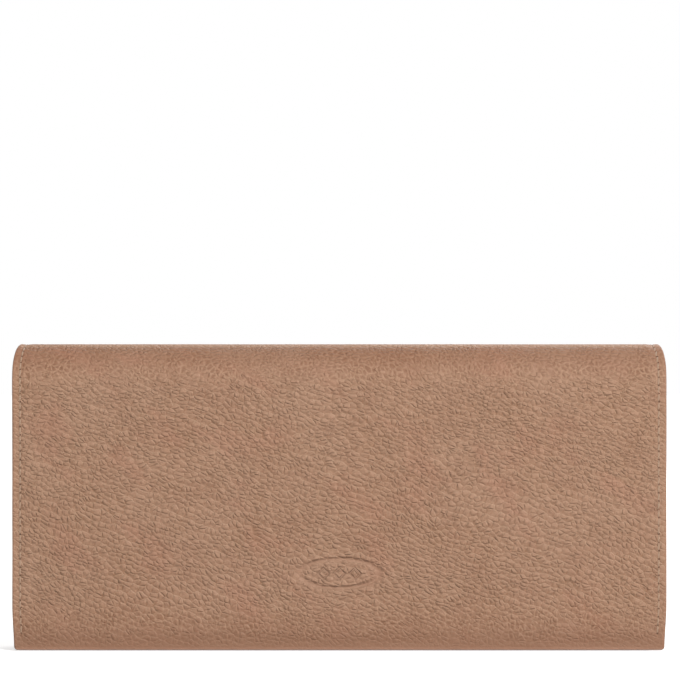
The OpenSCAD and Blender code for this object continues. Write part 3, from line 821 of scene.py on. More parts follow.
def sewn_sides(low, high):
    """Places of the stitches down both sides of the outer leather, between two lengths."""
    pitch = bpy.context.scene.wallet_sewing.pitch
    found = []
    for k in range(math.ceil(low / pitch), math.floor(high / pitch)):
        s = (k + 0.5) * pitch
        if not (low <= s < high):
            continue
        for side in (-1, 1):
            x = side * (half_width(s, side) - SEAM_INSET)
            y, z, ny, nz = outer_path(s)
            dip = unevenness(x, s, SEAM_INSET)
            found.append(((x, y - ny * dip, z - nz * dip), (0, -nz, ny), (0, ny, nz)))
    return found


class WALLET_OT_outer_leather(bpy.types.Operator):
    """The pebbled leather over the flap, the crown, the back and the bottom, and its seams"""

    bl_idname = "wallet.outer_leather"
    bl_label = "Outer Leather"

    def execute(self, context):
        sides = (*ROUND, 1.25, 1.75, 2.3, 2.9)
        across = steps(WIDTH, 1.05, sides, sides)
        middle, reach = WIDTH / 2, OVAL[0] + 1.5
        columns = finer(across, middle - reach, middle + reach, 0.45)
        rows = finer(steps(CROWN, 1.05, ROUND, FINE), OVAL_S - OVAL[1] - 1.5, OVAL_S + OVAL[1] + 1.5, 0.4)
        flap = shell("flap_leather", columns, rows, leather_place(0), "pebbled")
        back = shell("back_leather", across, steps(LEATHER_END - CROWN, 1.05, FINE, FINE),
                     leather_place(CROWN), "pebbled")
        flap_seams = stitches("flap_seam_stitches", sewn_sides(SEAM_ENDS[0], CROWN))
        back_seams = stitches("back_seam_stitches", sewn_sides(CROWN, BACK_LOW - 1))
        for piece in (flap, flap_seams):
            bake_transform(piece)
        for piece in (back, back_seams):
            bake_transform(piece)
        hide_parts("flap_cover", "spine_cover")
        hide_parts("back_cover", "spine_cover")
        return {"FINISHED"}


def front_path(s):
    """The bottom and front of the pocket leather, s along from the join under the pockets."""
    if s < FRONT_RUN:
        return JOIN_Y - s, 0.0, 0.0, -1.0
    if s < FRONT_RUN + FRONT_BEND * math.pi / 2:
        turn = (s - FRONT_RUN) / FRONT_BEND
        return (PANEL_FRONT + FRONT_BEND * (1 - math.sin(turn)), FRONT_BEND * (1 - math.cos(turn)),
                -math.sin(turn), -math.cos(turn))
    return PANEL_FRONT, FRONT_BEND + s - FRONT_RUN - FRONT_BEND * math.pi / 2, -1.0, 0.0


class WALLET_OT_front_leather(bpy.types.Operator):
    """The leather of the front panel, which bends up from the bottom"""

    bl_idname = "wallet.front_leather"
    bl_label = "Front Leather"

    def execute(self, context):
        total = FRONT_RUN + FRONT_BEND * math.pi / 2 + MOUTH_Z - FRONT_BEND
        panel_half = span("front_panel", 0)[1]
        low_half = half_width(LEATHER_END)
        thickness = PANEL_BACK - PANEL_FRONT

        def place(a, b, side):
            half = low_half + (panel_half - low_half) * ease((b - FRONT_RUN + 3) / (FRONT_BEND + 3))
            x = (a - panel_half) / panel_half * half
            y, z, ny, nz = front_path(b)
            near = min(half - abs(x), total - b)
            depth = round_off(near, thickness / 2)
            if side > 0:
                dip = 0.16 + 0.3 * noise.noise(Vector((x / 17.0, b / 12.0, 9.4)))
                depth += max(0.0, dip) * ease((near - 0.2) / 2) * ease((b - FRONT_RUN + 2) / 3)
            else:
                depth = thickness - depth
            return (x, y - ny * depth, z - nz * depth), (x, LEATHER_END + b), near

        panel = shell("front_panel_leather", steps(2 * panel_half, 1.6, ROUND, ROUND),
                      steps(total, 1.4, FINE, ROUND), place, "pebbled")
        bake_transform(panel)
        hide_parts("front_panel")
        return {"FINISHED"}


# ---------------------------------------------------------------- inside


def lining_place(low, inset_width, z_low):
    """place() for the lining: up the flap, over inside the crown, down the back."""
    arch = span("spine_lining", 2)[1] - ARCH_Z
    half_w = WIDTH / 2 - inset_width
    rise = ARCH_Z - z_low
    half_arch = math.pi * arch / 2

    def place(a, b, side):
        s = low + b
        if s < rise:
            y, z, ny, nz = -LINING_DEPTH, z_low + s, -1.0, 0.0
        elif s < rise + math.pi * arch:
            turn = (s - rise) / arch
            r = LINING_DEPTH + (arch - LINING_DEPTH) * ease(min(turn, math.pi - turn) / 0.35)
            ny, nz = -math.cos(turn), math.sin(turn)
            y, z = r * ny, ARCH_Z + r * nz
        else:
            y, z, ny, nz = LINING_DEPTH, ARCH_Z - (s - rise - math.pi * arch), 1.0, 0.0
        from_crown = s - rise - half_arch
        outer_s = CROWN + from_crown * (DEPTH / arch if abs(from_crown) < half_arch else 1)
        half = min(half_w, half_width(max(2.0, min(outer_s, BACK_LOW))) - inset_width)
        x = (a - half_w) / half_w * half
        end = rise + math.pi * arch + ARCH_Z - BOTTOM_FOLD
        near = min(half - abs(x), s, end - s)
        depth = round_off(near, LINING / 2)
        if side < 0:
            slack = 0.12 * noise.noise(Vector((x / 14.0, s / 9.0, 2.2)))
            pucker = 0.1 * math.exp(-(((near - 1.3) / 0.6) ** 2))
            depth = LINING - depth - (max(0.0, slack) + pucker) * ease(near / 1.5) * 0.8
        return (x, y - ny * depth, z - nz * depth), (x, s), near

    return place


class WALLET_OT_linings(bpy.types.Operator):
    """Twill lining inside the flap, the crown and the back, and the boards behind it"""

    bl_idname = "wallet.linings"
    bl_label = "Linings And Boards"

    def execute(self, context):
        inset = WIDTH / 2 - span("flap_lining", 0)[1]
        z_low = span("flap_lining", 2)[0]
        arch = span("spine_lining", 2)[1] - ARCH_Z
        crown = ARCH_Z - z_low + math.pi * arch / 2
        total = ARCH_Z - z_low + math.pi * arch + ARCH_Z - BOTTOM_FOLD
        ends = (*round_rim(LINING), 0.8, 1.4, 2.0)
        across = steps(WIDTH - 2 * inset, 2.2, ends, ends)
        flap = shell("flap_lining_cloth", across, steps(crown, 1.8, ends, FINE),
                     lining_place(0, inset, z_low), "lining")
        back = shell("back_lining_cloth", across, steps(total - crown, 1.8, FINE, ends[:-2]),
                     lining_place(crown, inset, z_low), "lining")
        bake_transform(flap)
        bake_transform(back)
        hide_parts("flap_lining", "spine_lining")
        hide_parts("back_lining", "spine_lining")
        for node, body, facing in (("back_stiffener", "back", 1), ("flap_stiffener", "flap", -1)):
            y = span(node, 1)
            board = plate(node + "_board", span(node, 0), span(node, 2), y[1] if facing > 0 else y[0],
                          y[1] - y[0], facing, "board", pitch=8)
            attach(board, body)
            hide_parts(node)
        return {"FINISHED"}


def row_relief(mouth, toward, half, seed):
    """Relief of a card strip: a creased line and a soft belly by its mouth, and a seam down the middle."""

    def relief(x, z, near):
        back = (mouth - z) * toward
        dip = 0.06 + 0.05 * math.exp(-(((back - 1.5) / 0.3) ** 2))
        dip -= 0.05 * math.exp(-((back / 1.1) ** 2))
        side = abs(x)
        middle = math.exp(-((side / 0.9) ** 2)) + math.exp(-(((half - 2.0 - side) / 0.9) ** 2))
        dip += 0.09 * middle
        belly = math.sin(math.pi * min(1.0, side / half)) ** 2
        dip -= 0.13 * belly * math.exp(-((back / 9.0) ** 2))
        dip += 0.03 * noise.noise(Vector((x / 9.0, z / 5.0, seed)))
        return dip

    return relief


class WALLET_OT_card_rows(bpy.types.Operator):
    """Card rows on the front panel and inside the flap, two cards abreast, with their seams"""

    bl_idname = "wallet.card_rows"
    bl_label = "Card Rows"

    def execute(self, context):
        pitch = context.scene.wallet_sewing.pitch
        # clear is how far the seams keep from the press stud
        for body, prefix, facing, toward, clear in (
            ("panel", "panel_card_row_", -1, 1, 6),
            ("flap", "flap_card_row_", 1, -1, 7),
        ):
            nodes = sorted(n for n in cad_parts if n.startswith(prefix))
            rows = []
            for number, node in enumerate(nodes):
                (x0, x1), (y0, y1), (z0, z1) = (span(node, i) for i in range(3))
                mouth = z1 if toward > 0 else z0
                face = y0 if facing < 0 else y1
                rows.append((face, z0, z1))
                row = plate(node + "_leather", (x0, x1), (z0, z1), face, y1 - y0, facing, "smooth",
                            row_relief(mouth, toward, x1, number + 3.1 * facing), pitch=2.0)
                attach(row, body)
                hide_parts(node)
            # the seams step from row to row; the outermost row that reaches a place holds the thread there
            places = []
            low, high = min(z0 for _, z0, _ in rows) + 3, max(z1 for _, _, z1 in rows) - 1.6
            for k in range(int((high - low) / pitch)):
                z = low + (k + 0.5) * pitch
                here = [face for face, z0, z1 in rows if z0 + 0.8 < z < z1 - 0.8]
                if not here:
                    continue
                face = min(here) if facing < 0 else max(here)
                for x in (0.0, 2.0 - x1, x1 - 2.0):
                    if abs(x) >= clear or abs(z - STUD_Z) >= clear:
                        places.append(((x, face - facing * 0.12, z), (0, 0, 1), (0, facing, 0)))
            seam = stitches(prefix + "seams", places)
            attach(seam, body)
        return {"FINISHED"}


def soft_path(points, radius, step=0.12):
    """Points along a folded line, its corners rounded by averaging over radius."""
    dense = []
    for (x0, y0), (x1, y1) in zip(points, points[1:]):
        count = max(1, round(math.hypot(x1 - x0, y1 - y0) / step))
        dense += [(x0 + (x1 - x0) * i / count, y0 + (y1 - y0) * i / count) for i in range(count)]
    dense.append(points[-1])
    reach = round(radius / step)
    out = []
    for i in range(len(dense)):
        w = min(reach, i, len(dense) - 1 - i)
        group = dense[i - w : i + w + 1]
        out.append((sum(p[0] for p in group) / len(group), sum(p[1] for p in group) / len(group)))
    return out


def measured(path):
    """Length run at each point of a path."""
    lengths = [0.0]
    for p, q in zip(path, path[1:]):
        lengths.append(lengths[-1] + math.hypot(q[0] - p[0], q[1] - p[1]))
    return lengths


def point_on(path, lengths, run, reach):
    """The point run along a path, and the way out there, taken over reach points to each side."""
    i = next((k for k, length in enumerate(lengths) if length > run), len(path)) - 1
    i = min(len(path) - 2, max(0, i))
    t = (run - lengths[i]) / max(1e-9, lengths[i + 1] - lengths[i])
    (p0, p1), (q0, q1) = path[i], path[i + 1]
    (a0, a1), (b0, b1) = path[max(0, i - reach)], path[min(len(path) - 1, i + 1 + reach)]
    size = math.hypot(b0 - a0, b1 - a1)
    return p0 + (q0 - p0) * t, p1 + (q1 - p1) * t, (b1 - a1) / size, (a0 - b0) / size


class WALLET_OT_gussets(bpy.types.Operator):
    """The folded cloth that closes both ends of the compartments"""

    bl_idname = "wallet.gussets"
    bl_label = "Gussets"

    def execute(self, context):
        (inner, outer), (front, rear), (z0, z1) = (span("right_gusset", i) for i in range(3))
        outer -= GUSSET / 2
        inner += GUSSET / 2
        front += GUSSET / 2
        rear -= GUSSET / 2
        coin_front, coin_rear = span("coin_front_wall", 1)[0] - 0.55, span("coin_rear_wall", 1)[1] + 0.55
        tab = outer - 4.5
        points = [(tab, rear), (outer, rear), (inner, (rear + coin_rear) / 2), (outer, coin_rear),
                  (outer, coin_front), (inner, (coin_front + front) / 2), (outer, front), (tab, front)]
        path = soft_path(points, 0.55)
        lengths = measured(path)
        ends = round_rim(GUSSET)
        for side_x, node in ((1, "right_gusset"), (-1, "left_gusset")):

            def place(a, b, side):
                # the way out is taken over a short run, so that folds shade smoothly
                x, y, nx, ny = point_on(path, lengths, a, 2)
                fold = (outer - x) / (outer - inner)
                loose = ease((b - 40) / 32)
                wrinkle = 0.16 * noise.noise(Vector((a / 3.0, b / 9.0, side_x * 3.0))) * min(1, fold * 3)
                x += fold * 0.9 * loose + wrinkle
                near = min(a, lengths[-1] - a, b, z1 - z0 - b)
                out = (GUSSET / 2 - round_off(near, GUSSET / 2)) * side
                return (side_x * (x + nx * out), y + ny * out, z0 + b), (a, b), near

            cloth = shell(node + "_cloth", steps(lengths[-1], 0.34, ends, ends),
                          steps(z1 - z0, 3.0, ends, (*ends, 0.8, 1.6)), place, "gusset")
            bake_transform(cloth)
            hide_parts(node)
        return {"FINISHED"}


class WALLET_OT_coin_pocket(bpy.types.Operator):
    """Walls and bag of the coin pocket"""

    bl_idname = "wallet.coin_pocket"
    bl_label = "Coin Pocket"

    def execute(self, context):
        pitch = context.scene.wallet_sewing.pitch
        for node, facing in (("coin_front_wall", -1), ("coin_rear_wall", 1)):
            (x0, x1), (y0, y1), (z0, z1) = (span(node, i) for i in range(3))
            face = y0 if facing < 0 else y1

            def relief(x, z, near, z1=z1, x1=x1, facing=facing):
                dip = 0.04 + 0.1 * math.exp(-(((z1 - z - 2.0) / 0.5) ** 2))
                dip -= 0.16 * math.sin(math.pi * (x / x1 + 1) / 2) * math.sin(math.pi * z / z1)
                return dip + 0.06 * noise.noise(Vector((x / 15.0, z / 11.0, 5.0 + facing)))

            wall = plate(node + "_leather", (x0, x1), (z0, z1), face, y1 - y0, facing, "smooth", relief,
                         pitch=2.6)
            places = [((2 - x1 + (k + 0.5) * pitch, face - facing * 0.1, z1 - 2.0), (1, 0, 0), (0, facing, 0))
                      for k in range(int((2 * x1 - 4) / pitch))]
            seam = stitches(node + "_stitches", places)
            for piece in (wall, seam):
                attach(piece, "coin_pocket")
            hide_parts(node)
        # the bag: down inside the front wall, under and up the rear wall, with closed ends
        (x0, x1), (y0, y1), (z0, z1) = (span("coin_bag", i) for i in range(3))
        half = COIN_BAG / 2
        points = [(y0 + half, z1), (y0 + half, z0 + half), (y1 - half, z0 + half), (y1 - half, z1)]
        path = soft_path(points, 0.9, 0.3)
        lengths = measured(path)
        rim = round_rim(COIN_BAG)

        def place(a, b, side):
            y, z, ny, nz = point_on(path, lengths, b, 0)
            near = min(a, x1 - x0 - a, b, lengths[-1] - b)
            out = (half - round_off(near, half)) * side
            return (x0 + a, y + ny * out, z + nz * out), (a, b), near

        bag = shell("coin_bag_cloth", steps(x1 - x0, 5, rim, rim), steps(lengths[-1], 1.5, rim, rim), place,
                    "gusset")
        wide, tall = y1 - y0 - 2 * COIN_BAG, z1 - z0 - COIN_BAG
        ends = []
        for side, name in ((-1, "coin_bag_end_left"), (1, "coin_bag_end_right")):

            def end_place(a, b, way, side=side):
                near = min(a, wide - a, b, tall - b)
                out = (half - round_off(near, half)) * way
                sag = 0.25 * math.sin(math.pi * a / wide)
                return (side * (x1 - half + out - sag), y0 + COIN_BAG + a, z0 + COIN_BAG + b), (a, b), near

            ends.append(shell(name, steps(wide, 0.5, rim, rim), steps(tall, 3, rim, rim), end_place,
                              "gusset"))
        for piece in (bag, *ends):
            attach(piece, "coin_pocket")
        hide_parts("coin_bag")
        return {"FINISHED"}


# ---------------------------------------------------------------- zip


def soften(bm, edges, offset, segments):
    """Rounds off some edges."""
    bmesh.ops.bevel(bm, geom=edges, offset=offset, segments=segments, profile=0.5, affect="EDGES",
                    material=-1)


def rod(bm, radius, length, segments, matrix):
    """A round rod, its middle and its way up as the matrix says."""
    made = bmesh.ops.create_cone(bm, cap_ends=True, segments=segments, radius1=radius, radius2=radius,
                                 depth=length)["verts"]
    bmesh.ops.transform(bm, matrix=matrix, verts=made)


def block(bm, centre, size, bevel, segments, shape=None):
    """A bevelled block; shape moves its corners while it is one unit across."""
    made = bmesh.ops.create_cube(bm, size=1)["verts"]
    for v in made:
        if shape:
            v.co = shape(v.co.copy())
        v.co = Vector(centre) + Vector([v.co[i] * size[i] for i in range(3)])
    soften(bm, list({e for v in made for e in v.link_edges}), bevel, segments)


def hard_object(bm, name, surface):
    """The mesh, built in millimetres, as an object shaded smooth over its small bevels."""
    bmesh.ops.scale(bm, vec=(MM, MM, MM), verts=bm.verts)
    bmesh.ops.recalc_face_normals(bm, faces=bm.faces)
    for face in bm.faces:
        face.smooth = True
    for e in bm.edges:
        if len(e.link_faces) == 2 and e.calc_face_angle(0.0) > math.radians(50):
            e.smooth = False
    return to_object(bm, name, surface)


def turned(bm, profile, matrix, count=48):
    """A turned shape: profile is (radius, height) from the axis round to the axis."""
    verts = [bm.verts.new((r, 0, h)) for r, h in profile]
    edges = [bm.edges.new(pair) for pair in zip(verts, verts[1:])]
    bmesh.ops.spin(bm, geom=[*verts, *edges], cent=(0, 0, 0), axis=(0, 0, 1), angle=2 * math.pi,
                   steps=count, use_merge=True)
    made = [v for v in bm.verts if not v.tag]
    bmesh.ops.remove_doubles(bm, verts=made, dist=1e-4)
    made = [v for v in bm.verts if not v.tag]
    bmesh.ops.transform(bm, matrix=matrix, verts=made)
    for v in bm.verts:
        v.tag = True


class WALLET_OT_zip(bpy.types.Operator):
    """Tapes, teeth, stops, slider and pull of the coin pocket's zip"""

    bl_idname = "wallet.zip"
    bl_label = "Zip"

    def execute(self, context):
        self.tapes()
        self.teeth()
        self.slider()
        self.pull()
        return {"FINISHED"}

    def tapes(self):
        pitch = bpy.context.scene.wallet_sewing.pitch
        for node, away in (("zip_tape_front", -1), ("zip_tape_rear", 1)):
            (x0, x1), (y0, y1), (z0, z1) = (span(node, i) for i in range(3))
            rim = round_rim(z1 - z0)

            def place(a, b, side):
                near = min(a, x1 - x0 - a, b, y1 - y0 - b)
                depth = round_off(near, (z1 - z0) / 2)
                from_teeth = b if away > 0 else y1 - y0 - b
                z = z1 - depth if side > 0 else z0 + depth
                if side > 0:
                    # the cord that the teeth grip, and a woven rib beside it
                    z += 0.1 * math.exp(-(((from_teeth - 2.35) / 0.14) ** 2)) * ease(near / 0.4)
                    z -= 0.06 * noise.noise(Vector((a / 6.0, away, 0.0))) * ease(near / 0.6)
                return (x0 + a, y0 + b, z), (a, b), near

            tape = shell(node + "_cloth", steps(x1 - x0, 2.0, rim, rim), steps(y1 - y0, 0.16, rim, rim),
                         place, "tape")
            line = (y1 - 0.3) if away > 0 else (y0 + 0.3)
            places = [((x0 + 1.5 + (k + 0.5) * pitch, line, z1), (1, 0, 0), (0, 0, 1))
                      for k in range(int((x1 - x0 - 3) / pitch))]
            for piece in (tape, stitches(node + "_stitches", places)):
                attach(piece, "coin_pocket")
            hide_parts(node)

    def teeth(self):
        z0, z1 = span("zip_teeth_rear", 2)
        z_mid, tall = (z0 + z1) / 2, z1 - z0
        for node, away in (("zip_teeth_front", -1), ("zip_teeth_rear", 1)):
            first = span(node, 0)[0]
            count = round((span(node, 0)[1] - first - TOOTH_LENGTH) / TOOTH_PITCH) + 1
            foot = span(node, 1)[1] if away > 0 else span(node, 1)[0]
            bm = bmesh.new()

            def head(co):
                # narrower in the neck, so that the next row's heads fit between
                if co.y * away < 0:
                    co.x *= 0.86
                    co.z *= 0.82
                return co

            reach = abs(foot - ZIP_Y) - 0.18
            middle = foot - away * reach / 2
            for k in range(count):
                x = first + k * TOOTH_PITCH + TOOTH_LENGTH / 2
                block(bm, (x, middle, z_mid), (TOOTH_LENGTH, reach, tall), 0.17, 2, head)
                block(bm, (x, foot - away * 0.32, z_mid - tall * 0.36), (TOOTH_LENGTH + 0.3, 0.6, tall * 0.3),
                      0.08, 1)
            row = hard_object(bm, node + "_brass", "zip brass")
            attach(row, "coin_pocket")
            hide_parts(node)
        for node in ("zip_closed_stop", "zip_open_stop"):
            (x0, x1), (y0, y1), _ = (span(node, i) for i in range(3))
            bm = bmesh.new()
            if node == "zip_open_stop":
                block(bm, ((x0 + x1) / 2, ZIP_Y, z_mid), (x1 - x0, y1 - y0, tall), 0.32, 3)
                for x in (x0 + 0.9, x1 - 0.9):
                    block(bm, (x, ZIP_Y, z1 - 0.04), (0.35, y1 - y0 - 0.5, 0.16), 0.06, 1)
            else:
                near = 0.35
                wide = y1 - ZIP_Y - near
                for away in (-1, 1):
                    block(bm, ((x0 + x1) / 2, ZIP_Y + away * (near + wide / 2), z_mid), (x1 - x0, wide, tall),
                          0.3, 3)
            stop = hard_object(bm, node + "_brass", "zip brass")
            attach(stop, "coin_pocket")
            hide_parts(node)

    def slider(self):
        (x0, x1), (y0, y1), (z0, z1) = (span("zip_slider", i) for i in range(3))
        wide, long = y1 - y0, x1 - x0
        plate_z, plate_t = 64.2, 1.0
        bm = bmesh.new()
        outline = 40

        def shield(z_mid, t, w_nose, w_tail, bevel):
            """A plate with a broad nose, a waist and a rounded tail."""
            made = bmesh.ops.create_circle(bm, cap_ends=True, segments=outline, radius=1.0)["verts"]
            face = made[0].link_faces[0]
            for v in made:
                turn = math.atan2(v.co.y, v.co.x)
                c, s = math.cos(turn), math.sin(turn)
                fx = math.copysign(abs(c) ** 0.55, c)
                fy = math.copysign(abs(s) ** 0.55, s)
                width = w_nose + (w_tail - w_nose) * (fx + 1) / 2
                width *= 1 - 0.08 * math.exp(-((fx / 0.4) ** 2))
                v.co = Vector((SLIDER_X + fx * long / 2, ZIP_Y + fy * width / 2, z_mid - t / 2))
            up = bmesh.ops.extrude_face_region(bm, geom=[face])["geom"]
            top = [v for v in up if isinstance(v, bmesh.types.BMVert)]
            bmesh.ops.translate(bm, vec=(0, 0, t), verts=top)
            rims = [e for e in bm.edges if all(v in top for v in e.verts)]
            low = [e for e in bm.edges if all(v in made for v in e.verts)]
            soften(bm, [*rims, *low], bevel, 3)

        shield(plate_z + plate_t / 2, plate_t, wide, wide * 0.84, 0.28)
        shield(z0 + 0.45, 0.9, 3.9, 3.5, 0.2)
        # side flanges that curl down over the teeth
        for side in (-1, 1):
            block(bm, (SLIDER_X, ZIP_Y + side * (wide / 2 - 0.55), 63.5), (long - 1.6, 0.72, 1.5), 0.2, 2)
        # the wedge between the two plates, which parts the teeth
        wedge_z = (z0 + plate_z) / 2 + 0.2
        block(bm, (SLIDER_X - long / 2 + 2.1, ZIP_Y, wedge_z), (2.4, 0.3, plate_z - z0), 0.05, 1)
        # the bridge that holds the pull
        top_z = z1 - 0.35
        for step in range(9):
            turn = math.pi * step / 8
            x = SLIDER_X + 2.85 * -math.cos(turn)
            z = plate_z + plate_t - 0.1 + (top_z - plate_z - plate_t + 0.1) * math.sin(turn) ** 0.45
            if step:
                middle = ((last[0] + x) / 2, ZIP_Y, (last[1] + z) / 2)
                run = math.hypot(x - last[0], z - last[1])
                tilt = math.atan2(z - last[1], x - last[0])
                made = bmesh.ops.create_cube(bm, size=1)["verts"]
                matrix = (Matrix.Translation(middle) @ Matrix.Rotation(-tilt, 4, "Y")
                          @ Matrix.Diagonal((run + 0.3, 1.5, 0.62, 1)))
                bmesh.ops.transform(bm, matrix=matrix, verts=made)
                soften(bm, list({e for v in made for e in v.link_edges}), 0.14, 2)
            last = (x, z)
        slider = hard_object(bm, "slider_brass", "zip brass")
        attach(slider, "slider")
        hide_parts("zip_slider")

    def pull(self):
        (_, x1), (y0, y1), (z0, z1) = (span("zip_pull", i) for i in range(3))
        mid_z, thick, wide = (z0 + z1) / 2, z1 - z0, y1 - y0
        bm = bmesh.new()
        # pin, two arms and a waisted plate with an eye
        across = Matrix.Translation((SLIDER_X, ZIP_Y, mid_z)) @ Matrix.Rotation(math.pi / 2, 4, "X")
        rod(bm, 0.38, wide - 0.8, 20, across)
        for side in (-1, 1):
            block(bm, (SLIDER_X + 2.0, ZIP_Y + side * 1.4, mid_z), (4.9, 0.8, thick), 0.24, 3)
        block(bm, (SLIDER_X + 5.4, ZIP_Y, mid_z), (2.6, wide, thick), 0.26, 3)
        for side in (-1, 1):
            block(bm, (SLIDER_X + 8.2, ZIP_Y + side * (wide / 2 - 0.5), mid_z), (4.6, 1.0, thick), 0.26, 3)
        block(bm, (x1 - 0.65, ZIP_Y, mid_z), (1.3, wide, thick), 0.3, 3)
        body = hard_object(bm, "pull_brass", "zip brass")
        # the leather tab goes through the eye and is sewn back on itself
        tip, loop = span("zip_pull_tab", 0)[1], x1 - 1.75
        upper = [(tip, 0.2), (x1 + 1.6, 0.2), (x1 + 0.1, 0.62), (loop, 0.62)]
        points = [(x, mid_z + up) for x, up in upper] + [(x, mid_z - up) for x, up in reversed(upper)]
        path = soft_path(points, 0.5, 0.1)
        lengths = measured(path)
        half, w = PULL_TAB / 2, wide - 1.4
        rim = round_rim(PULL_TAB)

        def place(a, b, side):
            x, z, nx, nz = point_on(path, lengths, b, 1)
            wider = 1 + 0.42 * ease((x - x1) / 2.5)
            near = min(a, w - a, b, lengths[-1] - b)
            corner = round_off(min(b, lengths[-1] - b), 1.0) * 0.8
            out = (half - round_off(near, half)) * side
            y = (a - w / 2) * (wider - 2 * corner / w)
            return (x + nx * out, ZIP_Y + y, z + nz * out), (a, b), near

        tab = shell("pull_tab_leather", steps(w, 0.4, rim, rim), steps(lengths[-1], 0.22, rim, rim), place,
                    "smooth")
        rows = [((x1 + 2.0 + k * 1.5, ZIP_Y + y, mid_z + 0.4), (1, 0, 0), (0, 0, 1))
                for k in range(3) for y in (-1.35, 1.35)]
        sewn = stitches("pull_tab_stitches", rows)
        for piece, name in ((body, "zip_metal"), (tab, "smooth_leather"), (sewn, "smooth_leather")):
            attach(piece, "pull")
        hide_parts("zip_pull")
        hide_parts("zip_pull_tab")


class WALLET_OT_press_stud(bpy.types.Operator):
    """Both halves of the press stud and the washer behind the panel"""

    bl_idname = "wallet.press_stud"
    bl_label = "Press Stud"

    def execute(self, context):
        # stud: a domed foot, a waisted post and a ball, turned about the axis towards the flap
        foot_y = span("snap_stud", 1)
        strips = span("panel_card_row_4", 1)[0]
        reach = strips - foot_y[0]
        to_front = Matrix.Translation((0, strips, STUD_Z)) @ Matrix.Rotation(math.pi / 2, 4, "X")
        bm = bmesh.new()
        # the foot, its rolled edge, the hollow round the post, the post and the ball
        profile = [
            (0.0001, -1.9), (1.6, -1.9), (1.6, 0.0), (4.3, 0.0), (4.5, 0.08), (4.46, 0.2), (4.0, 0.3),
            (3.2, 0.3), (3.0, 0.24), (2.6, 0.24), (2.3, 0.34), (1.75, 0.42), (1.66, 0.7), (1.8, 0.95),
            (2.1, 1.08), (2.15, 1.3), (2.05, 1.5), (1.7, reach - 0.08), (1.1, reach), (0.5, reach - 0.04),
            (0.0001, reach - 0.1),
        ]
        turned(bm, profile, to_front)
        stud = hard_object(bm, "stud_brass", "snap brass")
        washer_y = span("snap_washer", 1)
        bm = bmesh.new()
        at_washer = Matrix.Translation((0, washer_y[1], STUD_Z)) @ Matrix.Rotation(math.pi / 2, 4, "X")
        profile = [
            (0.0001, 0.06), (1.2, 0.02), (3.9, 0.0), (4.35, 0.1), (4.4, 0.25), (4.3, 0.38), (2.0, 0.4),
            (0.0001, 0.4),
        ]
        turned(bm, profile, at_washer)
        washer = hard_object(bm, "washer_brass", "snap brass")
        for piece, node in ((stud, "snap_stud"), (washer, "snap_washer")):
            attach(piece, "panel")
            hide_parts(node)
        # socket: a rolled flange round a raised ring with a spring inside
        base, lip = span("snap_socket", 1)
        deep = lip - base
        bm = bmesh.new()
        at_flap = Matrix.Translation((0, base, STUD_Z)) @ Matrix.Rotation(-math.pi / 2, 4, "X")
        profile = [
            (2.55, 0.0), (5.2, 0.0), (5.45, 0.12), (5.5, 0.3), (5.35, 0.5), (4.9, 0.6), (4.4, 0.5),
            (4.05, 0.5), (3.95, 0.62), (3.9, deep - 0.25), (3.7, deep - 0.05), (3.4, deep), (3.0, deep),
            (2.75, deep - 0.1), (2.6, deep - 0.35), (2.52, 0.7), (2.55, 0.0),
        ]
        turned(bm, profile, at_flap)
        for side in (-1, 1):
            # the two legs of the spring that the ball snaps past
            rod(bm, 0.22, 3.6, 10, Matrix.Translation((side * 2.42, base + 0.75, STUD_Z)))
        socket = hard_object(bm, "socket_brass", "snap brass")
        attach(socket, "flap")
        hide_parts("snap_socket")
        return {"FINISHED"}


# ---------------------------------------------------------------- stage


WHITE = (1.0, 1.0, 1.0, 1.0)
WARM_WHITE = (1.0, 0.985, 0.96, 1.0)


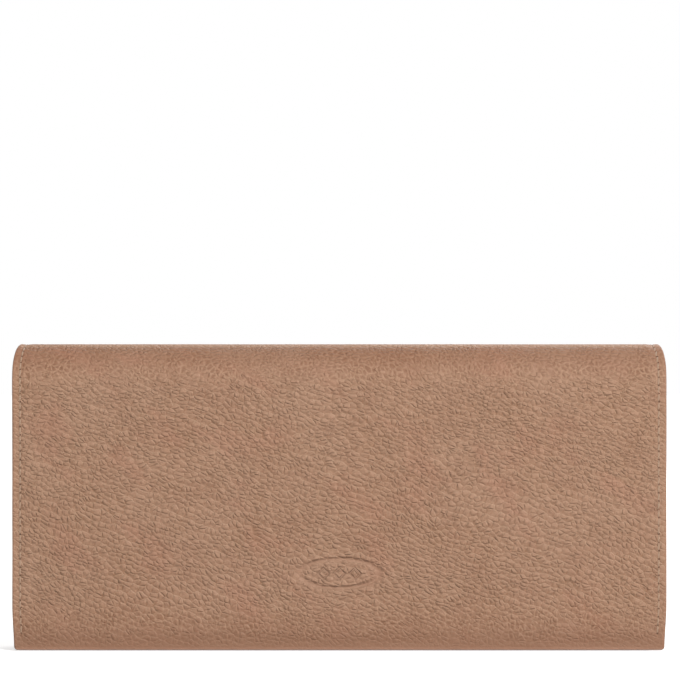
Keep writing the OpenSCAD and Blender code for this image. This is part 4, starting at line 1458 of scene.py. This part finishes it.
class WALLET_OT_stage(bpy.types.Operator):
    """White floor and surroundings, lamps and the camera"""

    bl_idname = "wallet.stage"
    bl_label = "Stage"

    def execute(self, context):
        scene = context.scene
        stage = scene.wallet_stage
        scene.view_settings.view_transform = "Standard"

        bm = bmesh.new()
        bmesh.ops.create_grid(bm, x_segments=4, y_segments=4, size=6)
        mesh = bpy.data.meshes.new("floor")
        bm.to_mesh(mesh)
        bm.free()
        made, tree, shader = new_material("Matte white paper sweep")
        finish_shader(tree, shader, (0.8, 0.8, 0.8, 1.0), 0.9, Specular_IOR_Level=0.0)
        # lit from behind as the camera sees it, so that it is as white as the surroundings; weaker near the
        # wallet, where the lamps reach it and where its shadow falls
        away = add(tree, "VectorMath", {0: add(tree, "TexCoord", out="Object")}, 1, operation="LENGTH")
        share = add(tree, "MapRange", (away, 0.3, 1.4, 0.6, 0.86), **SMOOTH)
        seen = add(tree, "LightPath", out="Is Camera Ray")
        glow = add(tree, "Emission", {0: WHITE, 1: seen})
        weaker = add(tree, "MixShader", {0: share, 2: glow})
        both = add(tree, "AddShader", (shader.outputs[0], weaker))
        tree.links.new(both, next(n for n in tree.nodes if n.type == "OUTPUT_MATERIAL").inputs[0])
        mesh.materials.append(made)
        floor = bpy.data.objects.new("floor", mesh)
        scene.collection.objects.link(floor)

        world = bpy.data.worlds.new("White studio")
        scene.world = world
        world.use_nodes = True
        tree = world.node_tree
        tree.nodes.clear()
        seen = add(tree, "LightPath", out="Is Camera Ray")
        around = add(tree, "Background", {0: WARM_WHITE, 1: 0.32})
        behind = add(tree, "Background", {0: WHITE, 1: 1.0})
        add(tree, "OutputWorld", {0: add(tree, "MixShader", (seen, around, behind))}, None)

        for name, place, size, power in (
            ("key", (0.75, -1.4, 1.15), (0.4, 0.4), 28.3),
            ("fill", (-0.9, -1.5, 0.25), (1.2, 1.0), 3.0),
            ("back", (0.5, 1.4, 0.95), (1.4, 1.0), 14.0),
        ):
            lamp = bpy.data.lights.new(name, "AREA")
            lamp.shape = "RECTANGLE"
            lamp.size, lamp.size_y = size
            lamp.energy = power
            made = bpy.data.objects.new(name, lamp)
            made.location = place
            made.rotation_euler = (Vector((0, 0, 0.045)) - Vector(place)).to_track_quat("-Z", "Y").to_euler()
            scene.collection.objects.link(made)

        lens = bpy.data.cameras.new("camera")
        lens.sensor_width = 36
        lens.lens = 36 * stage.distance / stage.across
        camera = bpy.data.objects.new("camera", lens)
        camera.location = (0.0002, -DEPTH * MM - stage.distance, stage.centre)
        camera.rotation_euler = (math.pi / 2, 0, 0)
        scene.collection.objects.link(camera)
        scene.camera = camera
        return {"FINISHED"}


class WALLET_PT_pieces(bpy.types.Panel):
    bl_label = "Wallet"
    bl_idname = "WALLET_PT_pieces"
    bl_space_type = "VIEW_3D"
    bl_region_type = "UI"
    bl_category = "Wallet"

    def draw(self, context):
        for group in (context.scene.wallet_leather, context.scene.wallet_sewing, context.scene.wallet_stage):
            for key in group.__annotations__:
                self.layout.prop(group, key)
        for operator in OPERATORS:
            self.layout.operator(operator.bl_idname)


OPERATORS = (
    WALLET_OT_outer_leather,
    WALLET_OT_front_leather,
    WALLET_OT_linings,
    WALLET_OT_card_rows,
    WALLET_OT_gussets,
    WALLET_OT_coin_pocket,
    WALLET_OT_zip,
    WALLET_OT_press_stud,
    WALLET_OT_stage,
)
GROUPS = {"wallet_leather": WalletLeather, "wallet_sewing": WalletSewing, "wallet_stage": WalletStage}


def register():
    for made in (*GROUPS.values(), *OPERATORS, WALLET_PT_pieces):
        bpy.utils.register_class(made)
    for key, group in GROUPS.items():
        setattr(bpy.types.Scene, key, bpy.props.PointerProperty(type=group))
    bpy.types.Scene.wallet_made = {}


def unregister():
    for key in GROUPS:
        delattr(bpy.types.Scene, key)
    for made in reversed((*GROUPS.values(), *OPERATORS, WALLET_PT_pieces)):
        bpy.utils.unregister_class(made)


def main():
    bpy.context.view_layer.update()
    register()
    for operator in OPERATORS:
        group, name = operator.bl_idname.split(".")
        getattr(getattr(bpy.ops, group), name)()


if __name__ == "__main__":
    main()
